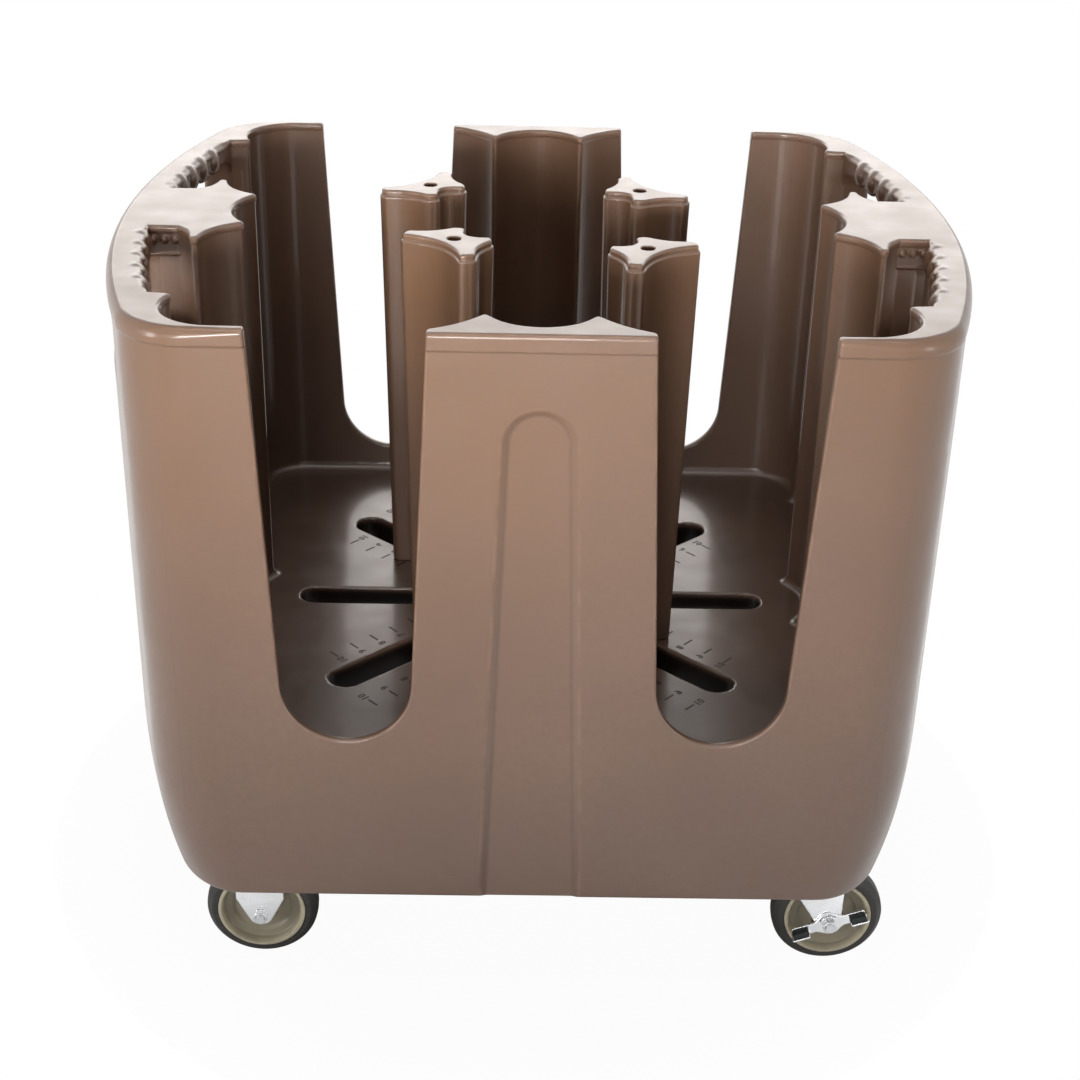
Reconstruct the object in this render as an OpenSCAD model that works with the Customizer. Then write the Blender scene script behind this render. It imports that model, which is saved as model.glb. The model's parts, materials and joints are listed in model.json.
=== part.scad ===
// Dish dolly: a one-piece moulded double-walled body on two rigid and two swivel casters,
// with four divider posts that slide along slots in the dish floor.
// Z is up, X runs along the long side, the front faces -Y and the floor is at z = 0.

/* [Body] */
// Height of the rim above the floor
total_h = 795; // [760:1:850]
// Length between the two end walls at their widest
body_w = 916; // [900:1:960]
// Depth between the front and rear faces
body_d = 760; // [750:1:800]
// Radius of the bowed end walls in plan
end_r = 1045; // [900:5:1300]
// Radius of the four upright corners
corner_r = 75; // [65:1:90]
// Thickness of each moulded skin
skin = 6; // [4:0.5:7]
// Thickness of the wall beside the access openings
edge_wall = 9; // [8:0.5:11]
// How far the end walls draw in at the bottom edge
bottom_in = 26; // [15:1:30]
// Height over which the end walls draw in
bottom_h = 160; // [100:5:200]
// How far the skirt hangs below the deck that carries the casters
skirt_drop = 15; // [10:1:18]
// Width of the skirt
skirt_w = 20; // [18:1:22]

/* [Rim and hand holds] */
// Height of the raised band round the rim
rim_h = 18; // [12:1:26]
// How far the band stands out from the side
rim_out = 3; // [1:0.5:5]
// How far the top edge of the end walls is rounded in
rim_round = 12; // [6:1:14]
// Width of each handle bar
bar_w = 35; // [30:1:40]
// Height of each handle bar
bar_h = 26; // [22:1:40]
// Height of the hand hole under a handle bar
hand_h = 66; // [50:1:90]
// Radius of the hand hole corners
hand_r = 18; // [10:1:24]
// Distance from the middle of an end wall to its hand holes
pier_half = 72; // [66:1:80]
// Distance from the middle of an end wall to the far end of its hand holes
hand_end = 281; // [260:1:285]

/* [Access openings] */
// Half width of the pillar between two U openings, at the rim
pillar_half = 108; // [104:1:116]
// Length of the corner between a U opening and the widest end of the body, at the rim
corner_l = 181; // [176:1:190]
// How much narrower a U opening is where its round bottom starts
u_taper = 35; // [20:1:45]
// Height of the U bottom above the dish floor
u_sill = 36; // [25:1:60]

/* [Pillars and piers] */
// Distance of the pillar peaks from the middle of the body
peak_x = 54; // [45:1:65]
// Depth of the pillar peaks from the outer face
peak_d = 52; // [45:1:65]
// Depth of the scallop between two pillar peaks
scallop_d = 32; // [20:1:34]
// Distance of the pier tips from the widest end of the body
pier_reach = 136; // [123:1:143]
// Distance of the inner pier tips from the middle of the end wall
pier_tip_y = 52; // [40:1:58]
// Depth of the scallop between two inner pier tips
pier_scallop = 19; // [10:1:25]
// Distance of the outer pier tips from the inner ones, along the body
pier_step_x = 38; // [30:1:44]
// Distance of the outer pier tips from the inner ones, across the body
pier_step_y = 58; // [48:1:62]
// Width of the blunt ends of peaks and tips
tip_w = 9; // [6:1:12]
// Radius of the rounded dish corners
dish_corner_r = 57; // [50:1:62]
// Distance of the dish corner from the widest end of the body
dish_corner_in = 92; // [88:1:98]
// Half width of the arched panel in the pillar faces at its bottom
panel_half = 53; // [45:1:60]
// Half width of the arched panel under its round top
panel_top_half = 37; // [30:1:42]
// Distance from the rim to the top of the arched panel
panel_drop = 77; // [60:1:100]
// Depth of the arched panel
panel_d = 5; // [3:0.5:8]

/* [Dish floor] */
// Height of the dish floor above the underside
floor_rise = 150; // [140:1:170]
// Thickness of the double floor over the underside recess
floor_t = 45; // [35:1:60]
// Width of the slots
slot_w = 38; // [32:1:42]
// Distance along the body from the side of the recess to the round end of a diagonal slot
slot_in_x = 86; // [82:1:92]
// Distance across the body from the side of the recess to the round end of a diagonal slot
slot_in_y = 42; // [36:1:46]
// Distance from the side of the recess to the outer end of a straight slot
side_slot_in = 14; // [10:1:30]
// Distance from the middle to the round inner ends of the diagonal slots
slot_start = 78; // [74:1:85]
// Floor between the inner ends of a straight and a diagonal slot
slot_web = 19; // [17:0.5:22]
// Distance of the underside recess from the widest ends of the body
recess_in = 162; // [150:1:166]
// Distance of the underside recess from the caster plates
recess_gap = 12; // [10:1:16]
// Radius of the corners of the recess
recess_r = 40; // [25:1:60]

/* [Dividers] */
// Distance of the front left divider from the middle
divider_fl_at = 125; // [118:1:240]
// Distance of the front right divider from the middle
divider_fr_at = 156; // [118:1:240]
// Distance of the rear left divider from the middle
divider_rl_at = 172; // [118:1:240]
// Distance of the rear right divider from the middle
divider_rr_at = 160; // [118:1:240]
// How far the dividers end below the rim
divider_drop = 4; // [2:1:30]
// Length of the two outer arms of a divider
arm_out = 59; // [54:1:62]
// Length of the two inner arms of a divider
arm_in = 41; // [38:1:44]
// Angle between the slot and the outer arms
arm_splay = 64; // [60:1:66]
// Angle between the slot and the inner arms, from its outer end
arm_back = 136; // [132:1:140]
// Width of the arm tips
arm_tip = 21; // [19:1:23]
// Depth of the hollow between the outer arms
outer_bow = 15; // [10:1:16]
// Depth of the hollows between an outer and an inner arm
side_bow = 6; // [3:1:8]
// Depth of the hollow between the inner arms
back_bow = 15; // [8:1:16]
// How far the arm tips are rounded
tip_round = 2; // [1:0.5:4]
// Thickness of a divider's moulded wall
divider_skin = 4; // [3:0.5:5]
// Height of the stepped cap of a divider
cap_h = 7; // [4:1:10]
// How far the cap is set in
cap_in = 2; // [1:0.5:3]
// Radius of the hole in the top of a divider
head_bore_r = 7.5; // [7:0.5:8.5]
// Depth of that hole
head_bore_h = 44; // [30:1:60]
// Length of the guide block under a divider
guide_l = 46; // [40:1:50]
// Gap between the guide block and the slot sides
guide_gap = 0.5; // [0.3:0.1:1.5]
// Side of the clamp plate under the floor
clamp_side = 62; // [54:1:70]
// Thickness of the clamp plate
clamp_t = 6; // [4:0.5:8]
// Radius of the clamp knob
knob_r = 21; // [17:1:24]
// Height of the clamp knob
knob_h = 24; // [18:1:30]

/* [Casters] */
// Height of the casters
caster_h = 158; // [154:1:165]
// Distance of the caster plates' middles from the widest end of the body
caster_in_x = 155; // [153:1:158]
// Distance of the caster plates' middles from the front and rear faces
caster_in_y = 92; // [90:1:95]
// Gap between a tyre and the fork crown above it
tyre_gap = 15; // [12:1:22]
// Width of the tyre
tyre_w = 32; // [28:1:33]
// Height of the tyre over the hub
tyre_h = 14; // [12:0.5:16]
// How far the hub rim stands out beside the tyre
hub_lip = 1.5; // [1:0.5:2]
// How far the swivel wheels trail behind their swivel axis
trail = 41; // [36:1:46]
// Length of a caster plate
plate_l = 100; // [96:1:104]
// Width of a caster plate
plate_w = 80; // [78:1:88]
// Thickness of a caster plate
plate_t = 4; // [3:0.5:5]
// Distance between the bolt holes along a caster plate
hole_l = 78; // [76:1:80]
// Distance between the bolt holes across a caster plate
hole_w = 58; // [57:1:62]
// Thickness of the fork legs
leg_t = 3.5; // [3:0.5:4.5]
// Inside width between the fork legs
fork_gap = 44; // [42:1:48]
// Radius of the rounded leg ends
leg_r = 14; // [12:1:16]
// Width of a rigid leg at its top
leg_top_w = 54; // [48:1:60]
// Height of a rigid leg's upright edges above the axle
leg_straight = 22; // [16:1:28]
// Radius of the swivel race
race_r = 32; // [30:1:33]
// Thickness of the fork crown
crown_t = 5; // [4:0.5:6]
// Gap for the ball race between plate and crown
race_gap = 7; // [6.5:0.5:8]
// Number of balls in a swivel race
ball_count = 14; // [10:1:16]

/* [Brakes] */
// Reach of the brake rocker arms from the axle
rocker_reach = 43; // [38:1:46]
// Width of the rocker arms
rocker_w = 13; // [10:1:16]
// Thickness of the brake rocker
rocker_t = 3; // [2:0.5:4]
// Slope of the brake rocker in its released position
rocker_tilt = 20; // [10:1:22]
// Length of the foot pads on the rocker
pad_l = 19; // [14:1:22]
// Height of the foot pads
pad_h = 10; // [8:1:13]
// Thickness of the foot pads
pad_t = 9; // [6:1:12]
// Thickness of the brake disc
disc_t = 3; // [2.5:0.5:4]
// Gap between brake disc and hub when released
disc_gap = 2; // [0.7:0.1:2.5]

/* [Fasteners] */
// Radius of the axle bolts
axle_r = 5; // [4:0.5:6]
// Outer radius of the sleeves that the wheels turn on
sleeve_r = 8; // [7.5:0.5:9]
// Radius of the divider tie bolts
tie_r = 4; // [3.5:0.5:5]
// Radius of the king bolts
king_r = 6; // [5:0.5:8]
// Radius of the caster bolts
bolt_r = 4; // [3.5:0.5:4.5]
// Length of the caster bolts
bolt_l = 20; // [18:1:22]
// Radius of the threaded inserts in the underside
insert_r = 7; // [6.5:0.5:8]
// Length of the threaded inserts
insert_l = 22; // [20:1:26]
// Thickness of the washers
washer_t = 1.5; // [1:0.5:2]

/* [Hidden] */

// Names of the four corners, with the side of the body that each lies on
CORNERS = [["fl", -1, -1], ["fr", 1, -1], ["rl", -1, 1], ["rr", 1, 1]];
DIVIDERS_AT = [divider_fl_at, divider_fr_at, divider_rl_at, divider_rr_at];
// The two ends of the swivel side, front and rear
SWIVELS = [["front", -1], ["rear", 1]];

// Overrun of cuts, gap of turning parts, and gap of flat faces that slide
over = 2;
run_gap = 0.05;
touch_gap = 0.3;
// Steps of corner arcs and of bowed lines
arc_n = 8;
bow_n = 6;
round_n = 96;
ball_n = 24;

half_w = body_w / 2;
half_d = body_d / 2;
wheel_d = caster_h - plate_t - race_gap - crown_t - tyre_gap;
wheel_r = wheel_d / 2;
hub_r = wheel_r - tyre_h;
caster_x = half_w - caster_in_x;
caster_y = half_d - caster_in_y;
floor_z = caster_h + floor_rise;
skirt_z = caster_h - skirt_drop;
floor_under_z = floor_z - floor_t;
inner_y = half_d - edge_wall;
u_top_w = half_w - corner_l - pillar_half;
u_x = pillar_half + u_top_w / 2;
u_low_w = u_top_w - u_taper;
pier_tip_x = half_w - pier_reach;
dish_corner_x = half_w - dish_corner_in;
recess_x = half_w - recess_in;
recess_y = caster_y - plate_w / 2 - recess_gap;
// The diagonal slots run from the middle of the body towards the corners of the recess
slot_angle = atan2(recess_y - slot_in_y, recess_x - slot_in_x);
slot_end = norm([recess_x - slot_in_x, recess_y - slot_in_y]) + slot_w / 2;
side_slot_end = recess_x - side_slot_in;
side_slot_rise = slot_start * sin(slot_angle);
side_slot_gap = sqrt(max(0, pow(slot_w + slot_web, 2) - pow(side_slot_rise, 2)));
side_slot_start = slot_start * cos(slot_angle) + side_slot_gap;
// Draw-in of the bottom edge: shares of its height, of the end walls' and of the faces' draw-in
bottom_shares = [[0, 1, 0.2], [0.05, 0.9, 0.05], [0.2, 0.64, 0], [0.5, 0.25, 0], [1, 0, 0]];
// Rounding of the rim: shares of its height, of the end walls' and of the faces' rounding
rim_shares = [[0, 0, 0], [0.45, 0.06, 0], [0.75, 0.3, 0.04], [0.92, 0.65, 0.1], [1, 1, 0.2]];
// Depth of the bowed lines as shares of what they run along
scallop_bow = scallop_d * 0.27;
flank_bow = 4.6;
pier_bow = 8.5;
pier_scallop_bow = pier_scallop * 0.26;
corner_turn = 25;

boss_r = 17;
boss_in = 0.6;
web_half = 4;
hub_wall = 6;
axle_nut_r = 8.5;
axle_nut_h = 7;
axle_head_h = 5;
axle_end = 3;
leg_out = fork_gap / 2 + leg_t;
crown_z = caster_h - plate_t - race_gap;
ball_r = race_gap / 2 - touch_gap;
race_wall = 3.5;
race_lip = 1.5;
crown_rim = 0.5;
ball_ring_r = race_r - race_wall - ball_r - over;
king_head_r = 11;
king_head_h = 6;
rocker_hub_r = 12;
disc_r = 19;
bolt_head_r = 6.5;
bolt_head_h = 5;
washer_r = 8.5;
insert_depth = 18;
tie_gap = 0.5;
tie_head_r = head_bore_r - 0.7;
tie_head_h = 8;
tie_key_r = 3.4;
tie_key_h = 4;
tie_end = 5;
tie_seat_z = total_h - divider_drop - head_bore_h;
clamp_z = floor_under_z - touch_gap - clamp_t;
knob_z = clamp_z - touch_gap - knob_h;
knob_lobes = 6;
knob_lobe_r = 6;

// Points of a bowed line from p to q, whose middle lies s to the left of the straight one
function bow(p, q, s) = [
    for (i = [1:bow_n])
        let (t = i / bow_n, d = q - p, side = [-d[1], d[0]] / norm(d))
            p + d * t + side * 4 * s * t * (1 - t)
];
function turned(p, sx, sy) = [for (q = p) [q[0] * sx, q[1] * sy]];
function back_from(p, first) = [for (i = [len(p) - first:-1:0]) p[i]];
// A quarter outline that ends on the X axis, repeated in all four quarters
function four_ways(q) = concat(
    q, back_from(turned(q, 1, -1), 2), turned(q, -1, -1), back_from(turned(q, -1, 1), 2)
);

// Plan of the outside: a and h are its half length and half depth
function quarter_plan(a, h) =
    let (
        mid_x = a - end_r,
        fillet_y = corner_r - h,
        fillet_x = mid_x + sqrt(pow(end_r - corner_r, 2) - fillet_y * fillet_y),
        turn = atan2(fillet_y, fillet_x - mid_x)
    )
    concat(
        [for (i = [0:arc_n])
            let (t = (turn + 90) * i / arc_n - 90)
                [fillet_x + corner_r * cos(t), fillet_y + corner_r * sin(t)]],
        [for (i = [1:arc_n])
            let (t = turn - turn * i / arc_n)
                [mid_x + end_r * cos(t), end_r * sin(t)]]
    );

// Distance of the inner side of a handle bar from the middle, at y
function bar_line(y) = half_w - end_r + sqrt(pow(end_r - bar_w, 2) - y * y);

// Plan of the dish space: pillar scallop and peak, access wall, dish corner, hand hole pocket,
// pier tips and pier scallop
function quarter_dish() =
    let (
        scallop = [0, peak_d - scallop_d - half_d],
        peak = [peak_x, peak_d - half_d],
        blunt = [tip_w / 2, 0],
        wall_start = [u_x - u_top_w / 2, -inner_y],
        corner_mid = [dish_corner_x - dish_corner_r, dish_corner_r - inner_y],
        tip_near = [pier_tip_x, -pier_tip_y],
        blunt_near = [0, tip_w / 2],
        tip_far = [pier_tip_x + pier_step_x, -pier_tip_y - pier_step_y],
        tip_side = tip_far + [tip_w * 1.2, tip_w * 0.7],
        pocket = [tip_side[0] + tip_w * 1.8, -pier_half]
    )
    concat(
        bow(scallop, peak - blunt, -scallop_bow),
        [peak + blunt],
        bow(peak + blunt, wall_start, -flank_bow),
        [for (i = [0:arc_n])
            let (t = (90 + corner_turn) * i / arc_n - 90)
                corner_mid + dish_corner_r * [cos(t), sin(t)]],
        [for (i = [0:bow_n])
            let (y = hand_end - (hand_end - pier_half) * i / bow_n)
                [bar_line(y), -y]],
        [pocket],
        bow(pocket, tip_side, -tip_w / 2),
        [tip_far],
        bow(tip_far, tip_near - blunt_near, -pier_bow),
        [tip_near + blunt_near],
        bow(tip_near + blunt_near, [pier_tip_x + pier_scallop, 0], -pier_scallop_bow)
    );

// Rings of the outside, as height and draw-in of the end walls and of the faces
function form_rings(inset) =
    let (top = rim_h - rim_out - inset)
    concat(
        [for (s = bottom_shares) [
            skirt_z + inset + s[0] * bottom_h,
            inset + s[1] * bottom_in,
            inset + s[2] * bottom_in
        ]],
        [[total_h - rim_h, inset, inset]],
        [for (s = rim_shares) [
            total_h - rim_h + rim_out + s[0] * top,
            inset - rim_out + s[1] * rim_round,
            inset - rim_out + s[2] * rim_round
        ]]
    );

// Outside of the body, drawn in all round by inset
module outer_form(inset) {
    rings = form_rings(inset);
    plans = [for (r = rings) four_ways(quarter_plan(half_w - r[1], half_d - r[2]))];
    n = len(plans[0]);
    last = (len(rings) - 1) * n;
    points = [for (j = [0:len(rings) - 1]) for (p = plans[j]) [p[0], p[1], rings[j][0]]];
    sides = [
        for (j = [1:len(rings) - 1])
            for (i = [0:n - 1])
                let (low = (j - 1) * n, high = j * n, k = (i + 1) % n)
                    each [[low + i, high + i, high + k], [low + i, high + k, low + k]]
    ];
    ends = [[for (i = [0:n - 1]) i], [for (i = [n - 1:-1:0]) last + i]];
    polyhedron(points = points, faces = concat(sides, ends));
}

module dish_space(grow) {
    translate([0, 0, floor_z - grow])
        linear_extrude(height = total_h)
            if (grow > 0)
                offset(delta = grow)
                    polygon(four_ways(quarter_dish()));
            else
                polygon(four_ways(quarter_dish()));
}

// The four U openings: two cuts from front to rear
module access_openings(grow) {
    arc_z = floor_z + u_sill + u_low_w / 2;
    for (sx = [-1, 1])
        translate([sx * u_x, half_d + over + rim_out, 0])
            rotate([90, 0, 0])
                linear_extrude(height = body_d + 2 * over + 2 * rim_out) {
                    polygon([
                        [-u_low_w / 2 - grow, arc_z],
                        [u_low_w / 2 + grow, arc_z],
                        [u_top_w / 2 + grow, total_h + over],
                        [-u_top_w / 2 - grow, total_h + over]
                    ]);
                    translate([0, arc_z])
                        circle(r = u_low_w / 2 + grow, $fn = round_n);
                }
}

module rounded_rect(w, h, r) {
    square([w - 2 * r, h], center = true);
    square([w, h - 2 * r], center = true);
    for (sx = [-1, 1])
        for (sy = [-1, 1])
            translate([sx * (w / 2 - r), sy * (h / 2 - r)])
                circle(r = r, $fn = round_n);
}

module hand_holes(grow) {
    hole_y = (pier_half + hand_end) / 2;
    hole_z = total_h - bar_h - hand_h / 2;
    hole_x = bar_line(hand_end) - skin;
    for (sx = [-1, 1])
        for (sy = [-1, 1])
            mirror([sx < 0 ? 1 : 0, 0, 0])
                translate([hole_x, sy * hole_y, hole_z])
                    rotate([90, 0, 90])
                        linear_extrude(height = half_w)
                            rounded_rect(hand_end - pier_half + 2 * grow, hand_h + 2 * grow, hand_r + grow);
}

module slot(angle, start, end, grow) {
    tail = end - slot_w / 2 - start;
    rotate([0, 0, angle])
        translate([start, 0, caster_h])
            linear_extrude(height = floor_rise + over) {
                translate([0, -slot_w / 2 - grow])
                    square([tail, slot_w + 2 * grow]);
                for (x = [0, tail])
                    translate([x, 0])
                        circle(r = slot_w / 2 + grow, $fn = round_n);
            }
}

module floor_slots(grow) {
    for (turn = [0, 180]) {
        slot(turn, side_slot_start, side_slot_end, grow);
        slot(turn + slot_angle, slot_start, slot_end, grow);
        slot(turn - slot_angle, slot_start, slot_end, grow);
    }
}

module underside_recess(grow) {
    translate([0, 0, caster_h - over])
        linear_extrude(height = floor_rise - floor_t + over + grow)
            rounded_rect(2 * (recess_x + grow), 2 * (recess_y + grow), recess_r + grow);
}

// The space inside the skirt, under the deck
module skirt_space(grow) {
    translate([0, 0, skirt_z - over])
        linear_extrude(height = skirt_drop + over + grow)
            if (grow > 0)
                offset(delta = grow)
                    polygon(four_ways(quarter_plan(half_w - bottom_in - skirt_w, half_d - skirt_w)));
            else
                polygon(four_ways(quarter_plan(half_w - bottom_in - skirt_w, half_d - skirt_w)));
}

module arched_panels(grow) {
    arc_z = total_h - panel_drop - panel_top_half;
    for (turn = [0, 180])
        rotate([0, 0, turn])
            translate([0, panel_d + grow - half_d, 0])
                rotate([90, 0, 0])
                    linear_extrude(height = panel_d + grow + over) {
                        polygon([
                            [-panel_half - grow, skirt_z - over],
                            [panel_half + grow, skirt_z - over],
                            [panel_top_half + grow, arc_z],
                            [-panel_top_half - grow, arc_z]
                        ]);
                        translate([0, arc_z])
                            circle(r = panel_top_half + grow, $fn = round_n);
                    }
}

// Places of the four bolts of one caster plate
module at_plate_holes() {
    for (sx = [-1, 1])
        for (sy = [-1, 1])
            translate([sx * hole_l / 2, sy * hole_w / 2, 0])
                children();
}
module at_all_holes() {
    for (c = CORNERS)
        translate([c[1] * caster_x, c[2] * caster_y, 0])
            at_plate_holes()
                children();
}
module insert_space(grow) {
    at_all_holes()
        translate([0, 0, caster_h - over])
            cylinder(r = insert_r + grow, h = insert_l + over + grow, $fn = round_n);
}

// The closed hollow between the outer and the inner skin
module hollow() {
    difference() {
        outer_form(skin);
        dish_space(skin);
        access_openings(skin);
        hand_holes(skin);
        floor_slots(skin);
        underside_recess(skin);
        skirt_space(skin);
        arched_panels(skin);
        insert_space(skin);
    }
}

module body() {
    color([0.52, 0.42, 0.36])
        difference() {
            outer_form(0);
            dish_space(0);
            access_openings(0);
            hand_holes(0);
            floor_slots(0);
            underside_recess(0);
            skirt_space(0);
            arched_panels(0);
            insert_space(0);
            hollow();
        }
}

module caster_inserts() {
    color([0.78, 0.66, 0.36])
        at_all_holes()
            translate([0, 0, caster_h])
                difference() {
                    cylinder(r = insert_r, h = insert_l, $fn = round_n);
                    translate([0, 0, -over])
                        cylinder(r = bolt_r, h = insert_depth + over, $fn = round_n);
                }
}

module caster_bolts() {
    head_z = caster_h - plate_t - washer_t;
    color([0.75, 0.76, 0.78])
        at_all_holes() {
            translate([0, 0, head_z - bolt_head_h])
                cylinder(r = bolt_head_r, h = bolt_head_h, $fn = 6);
            translate([0, 0, head_z])
                cylinder(r = bolt_r, h = bolt_l, $fn = round_n);
        }
}

module caster_washers() {
    color([0.75, 0.76, 0.78])
        at_all_holes()
            translate([0, 0, caster_h - plate_t - washer_t])
                difference() {
                    cylinder(r = washer_r, h = washer_t, $fn = round_n);
                    translate([0, 0, -over])
                        cylinder(r = bolt_r + run_gap, h = washer_t + 2 * over, $fn = round_n);
                }
}

// Ends of an arm's tip, which points along t
function tip_start(l, t) = l * [cos(t), sin(t)] - arm_tip / 2 * [-sin(t), cos(t)];
function tip_end(l, t) = l * [cos(t), sin(t)] + arm_tip / 2 * [-sin(t), cos(t)];
// Plan of a divider, with its outer arms towards the outer end of its slot, and X along the slot
function divider_points() = concat(
    [tip_start(arm_out, -arm_splay)],
    bow(tip_start(arm_out, -arm_splay), tip_end(arm_out, -arm_splay), -tip_round),
    bow(tip_end(arm_out, -arm_splay), tip_start(arm_out, arm_splay), outer_bow),
    bow(tip_start(arm_out, arm_splay), tip_end(arm_out, arm_splay), -tip_round),
    bow(tip_end(arm_out, arm_splay), tip_start(arm_in, arm_back), side_bow),
    bow(tip_start(arm_in, arm_back), tip_end(arm_in, arm_back), -tip_round),
    bow(tip_end(arm_in, arm_back), tip_start(arm_in, -arm_back), back_bow),
    bow(tip_start(arm_in, -arm_back), tip_end(arm_in, -arm_back), -tip_round),
    back_from(back_from(bow(tip_end(arm_in, -arm_back), tip_start(arm_out, -arm_splay), side_bow), 2), 1)
);
module divider_plan(c, inset) {
    turned_points = [
        for (p = divider_points())
            [
                c[1] * (p[0] * cos(slot_angle) - p[1] * sin(slot_angle)),
                c[2] * (p[0] * sin(slot_angle) + p[1] * cos(slot_angle))
            ]
    ];
    if (inset > 0)
        offset(delta = -inset)
            polygon(turned_points);
    else
        polygon(turned_points);
}

module at_divider(i) {
    c = CORNERS[i];
    r = DIVIDERS_AT[i];
    translate([c[1] * r * cos(slot_angle), c[2] * r * sin(slot_angle), 0])
        children();
}
module along_slot(c) {
    rotate([0, 0, c[1] * c[2] * slot_angle])
        children();
}

module divider(i) {
    c = CORNERS[i];
    foot_z = floor_z + touch_gap;
    tall = total_h - divider_drop - foot_z;
    color([0.55, 0.45, 0.39])
        at_divider(i)
            difference() {
                union() {
                    translate([0, 0, foot_z])
                        linear_extrude(height = tall - cap_h)
                            divider_plan(c, 0);
                    translate([0, 0, foot_z])
                        linear_extrude(height = tall)
                            divider_plan(c, cap_in);
                    along_slot(c)
                        translate([-guide_l / 2, guide_gap - slot_w / 2, floor_under_z + over])
                            cube([guide_l, slot_w - 2 * guide_gap, foot_z - floor_under_z - over]);
                }
                translate([0, 0, floor_under_z])
                    cylinder(r = tie_r + tie_gap, h = total_h, $fn = round_n);
                translate([0, 0, tie_seat_z])
                    cylinder(r = head_bore_r, h = total_h, $fn = round_n);
                difference() {
                    translate([0, 0, foot_z + divider_skin])
                        linear_extrude(height = tall - cap_h - 2 * divider_skin)
                            divider_plan(c, divider_skin);
                    cylinder(r = tie_r + tie_gap + divider_skin, h = total_h, $fn = round_n);
                    translate([0, 0, tie_seat_z - divider_skin])
                        cylinder(r = head_bore_r + divider_skin, h = total_h, $fn = round_n);
                }
            }
}

module tie_bolt(i) {
    end_z = knob_z - tie_end;
    color([0.75, 0.76, 0.78])
        at_divider(i)
            difference() {
                union() {
                    translate([0, 0, end_z])
                        cylinder(r = tie_r, h = tie_seat_z - end_z, $fn = round_n);
                    translate([0, 0, tie_seat_z])
                        cylinder(r = tie_head_r, h = tie_head_h, $fn = round_n);
                }
                translate([0, 0, tie_seat_z + tie_head_h - tie_key_h])
                    cylinder(r = tie_key_r, h = tie_key_h + over, $fn = 6);
            }
}

module clamp_plate(i) {
    color([0.72, 0.73, 0.75])
        at_divider(i)
            along_slot(CORNERS[i])
                translate([0, 0, clamp_z])
                    difference() {
                        linear_extrude(height = clamp_t)
                            rounded_rect(clamp_side, clamp_side, clamp_t);
                        translate([0, 0, -over])
                            cylinder(r = tie_r + run_gap, h = clamp_t + 2 * over, $fn = round_n);
                    }
}

module clamp_knob(i) {
    color([0.12, 0.12, 0.13])
        at_divider(i)
            translate([0, 0, knob_z])
                difference() {
                    union() {
                        cylinder(r = knob_r - knob_lobe_r / 2, h = knob_h, $fn = round_n);
                        for (k = [1:knob_lobes])
                            rotate([0, 0, k * 360 / knob_lobes])
                                translate([knob_r - knob_lobe_r, 0, 0])
                                    cylinder(r = knob_lobe_r, h = knob_h - over, $fn = round_n);
                    }
                    translate([0, 0, -over])
                        cylinder(r = tie_r + run_gap, h = knob_h + 2 * over, $fn = round_n);
                }
}

module plate_holes() {
    at_plate_holes()
        translate([0, 0, caster_h - plate_t - over])
            cylinder(r = bolt_r + run_gap, h = plate_t + 2 * over, $fn = round_n);
}
module caster_plate() {
    translate([0, 0, caster_h - plate_t])
        linear_extrude(height = plate_t)
            rounded_rect(plate_l, plate_w, bolt_head_r);
}

// A pair of fork legs: an outline over X and height, and round ends at the axle
module fork_legs(axle_x, outline) {
    for (sy = [-1, 1])
        translate([0, sy * (fork_gap + leg_t) / 2 + leg_t / 2, 0])
            rotate([90, 0, 0])
                linear_extrude(height = leg_t)
                    difference() {
                        union() {
                            polygon(outline);
                            translate([axle_x, wheel_r])
                                circle(r = leg_r, $fn = round_n);
                        }
                        translate([axle_x, wheel_r])
                            circle(r = axle_r, $fn = round_n);
                    }
}

module rigid_bracket(sy) {
    top_z = caster_h - plate_t / 2;
    straight_z = wheel_r + leg_straight;
    color([0.86, 0.87, 0.89])
        translate([-caster_x, sy * caster_y, 0])
            difference() {
                union() {
                    caster_plate();
                    fork_legs(0, [
                        [-leg_top_w / 2, top_z],
                        [-leg_top_w / 2, straight_z],
                        [-leg_r, wheel_r],
                        [leg_r, wheel_r],
                        [leg_top_w / 2, straight_z],
                        [leg_top_w / 2, top_z]
                    ]);
                }
                plate_holes();
            }
}

module swivel_plate(sy) {
    color([0.86, 0.87, 0.89])
        translate([caster_x, sy * caster_y, 0])
            difference() {
                caster_plate();
                plate_holes();
                translate([0, 0, caster_h - plate_t - over])
                    cylinder(r = king_r, h = plate_t + 2 * over, $fn = round_n);
            }
}

module king_bolt(sy) {
    head_z = crown_z - crown_t - touch_gap - king_head_h;
    color([0.75, 0.76, 0.78])
        translate([caster_x, sy * caster_y, head_z]) {
            cylinder(r = king_r, h = caster_h - head_z, $fn = round_n);
            cylinder(r = king_head_r, h = king_head_h, $fn = round_n);
        }
}

module swivel_balls(sy) {
    color([0.8, 0.81, 0.83])
        translate([caster_x, sy * caster_y, crown_z + race_gap / 2])
            for (k = [1:ball_count])
                rotate([0, 0, k * 360 / ball_count])
                    translate([ball_ring_r, 0, 0])
                        sphere(r = ball_r, $fn = ball_n);
}

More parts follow.
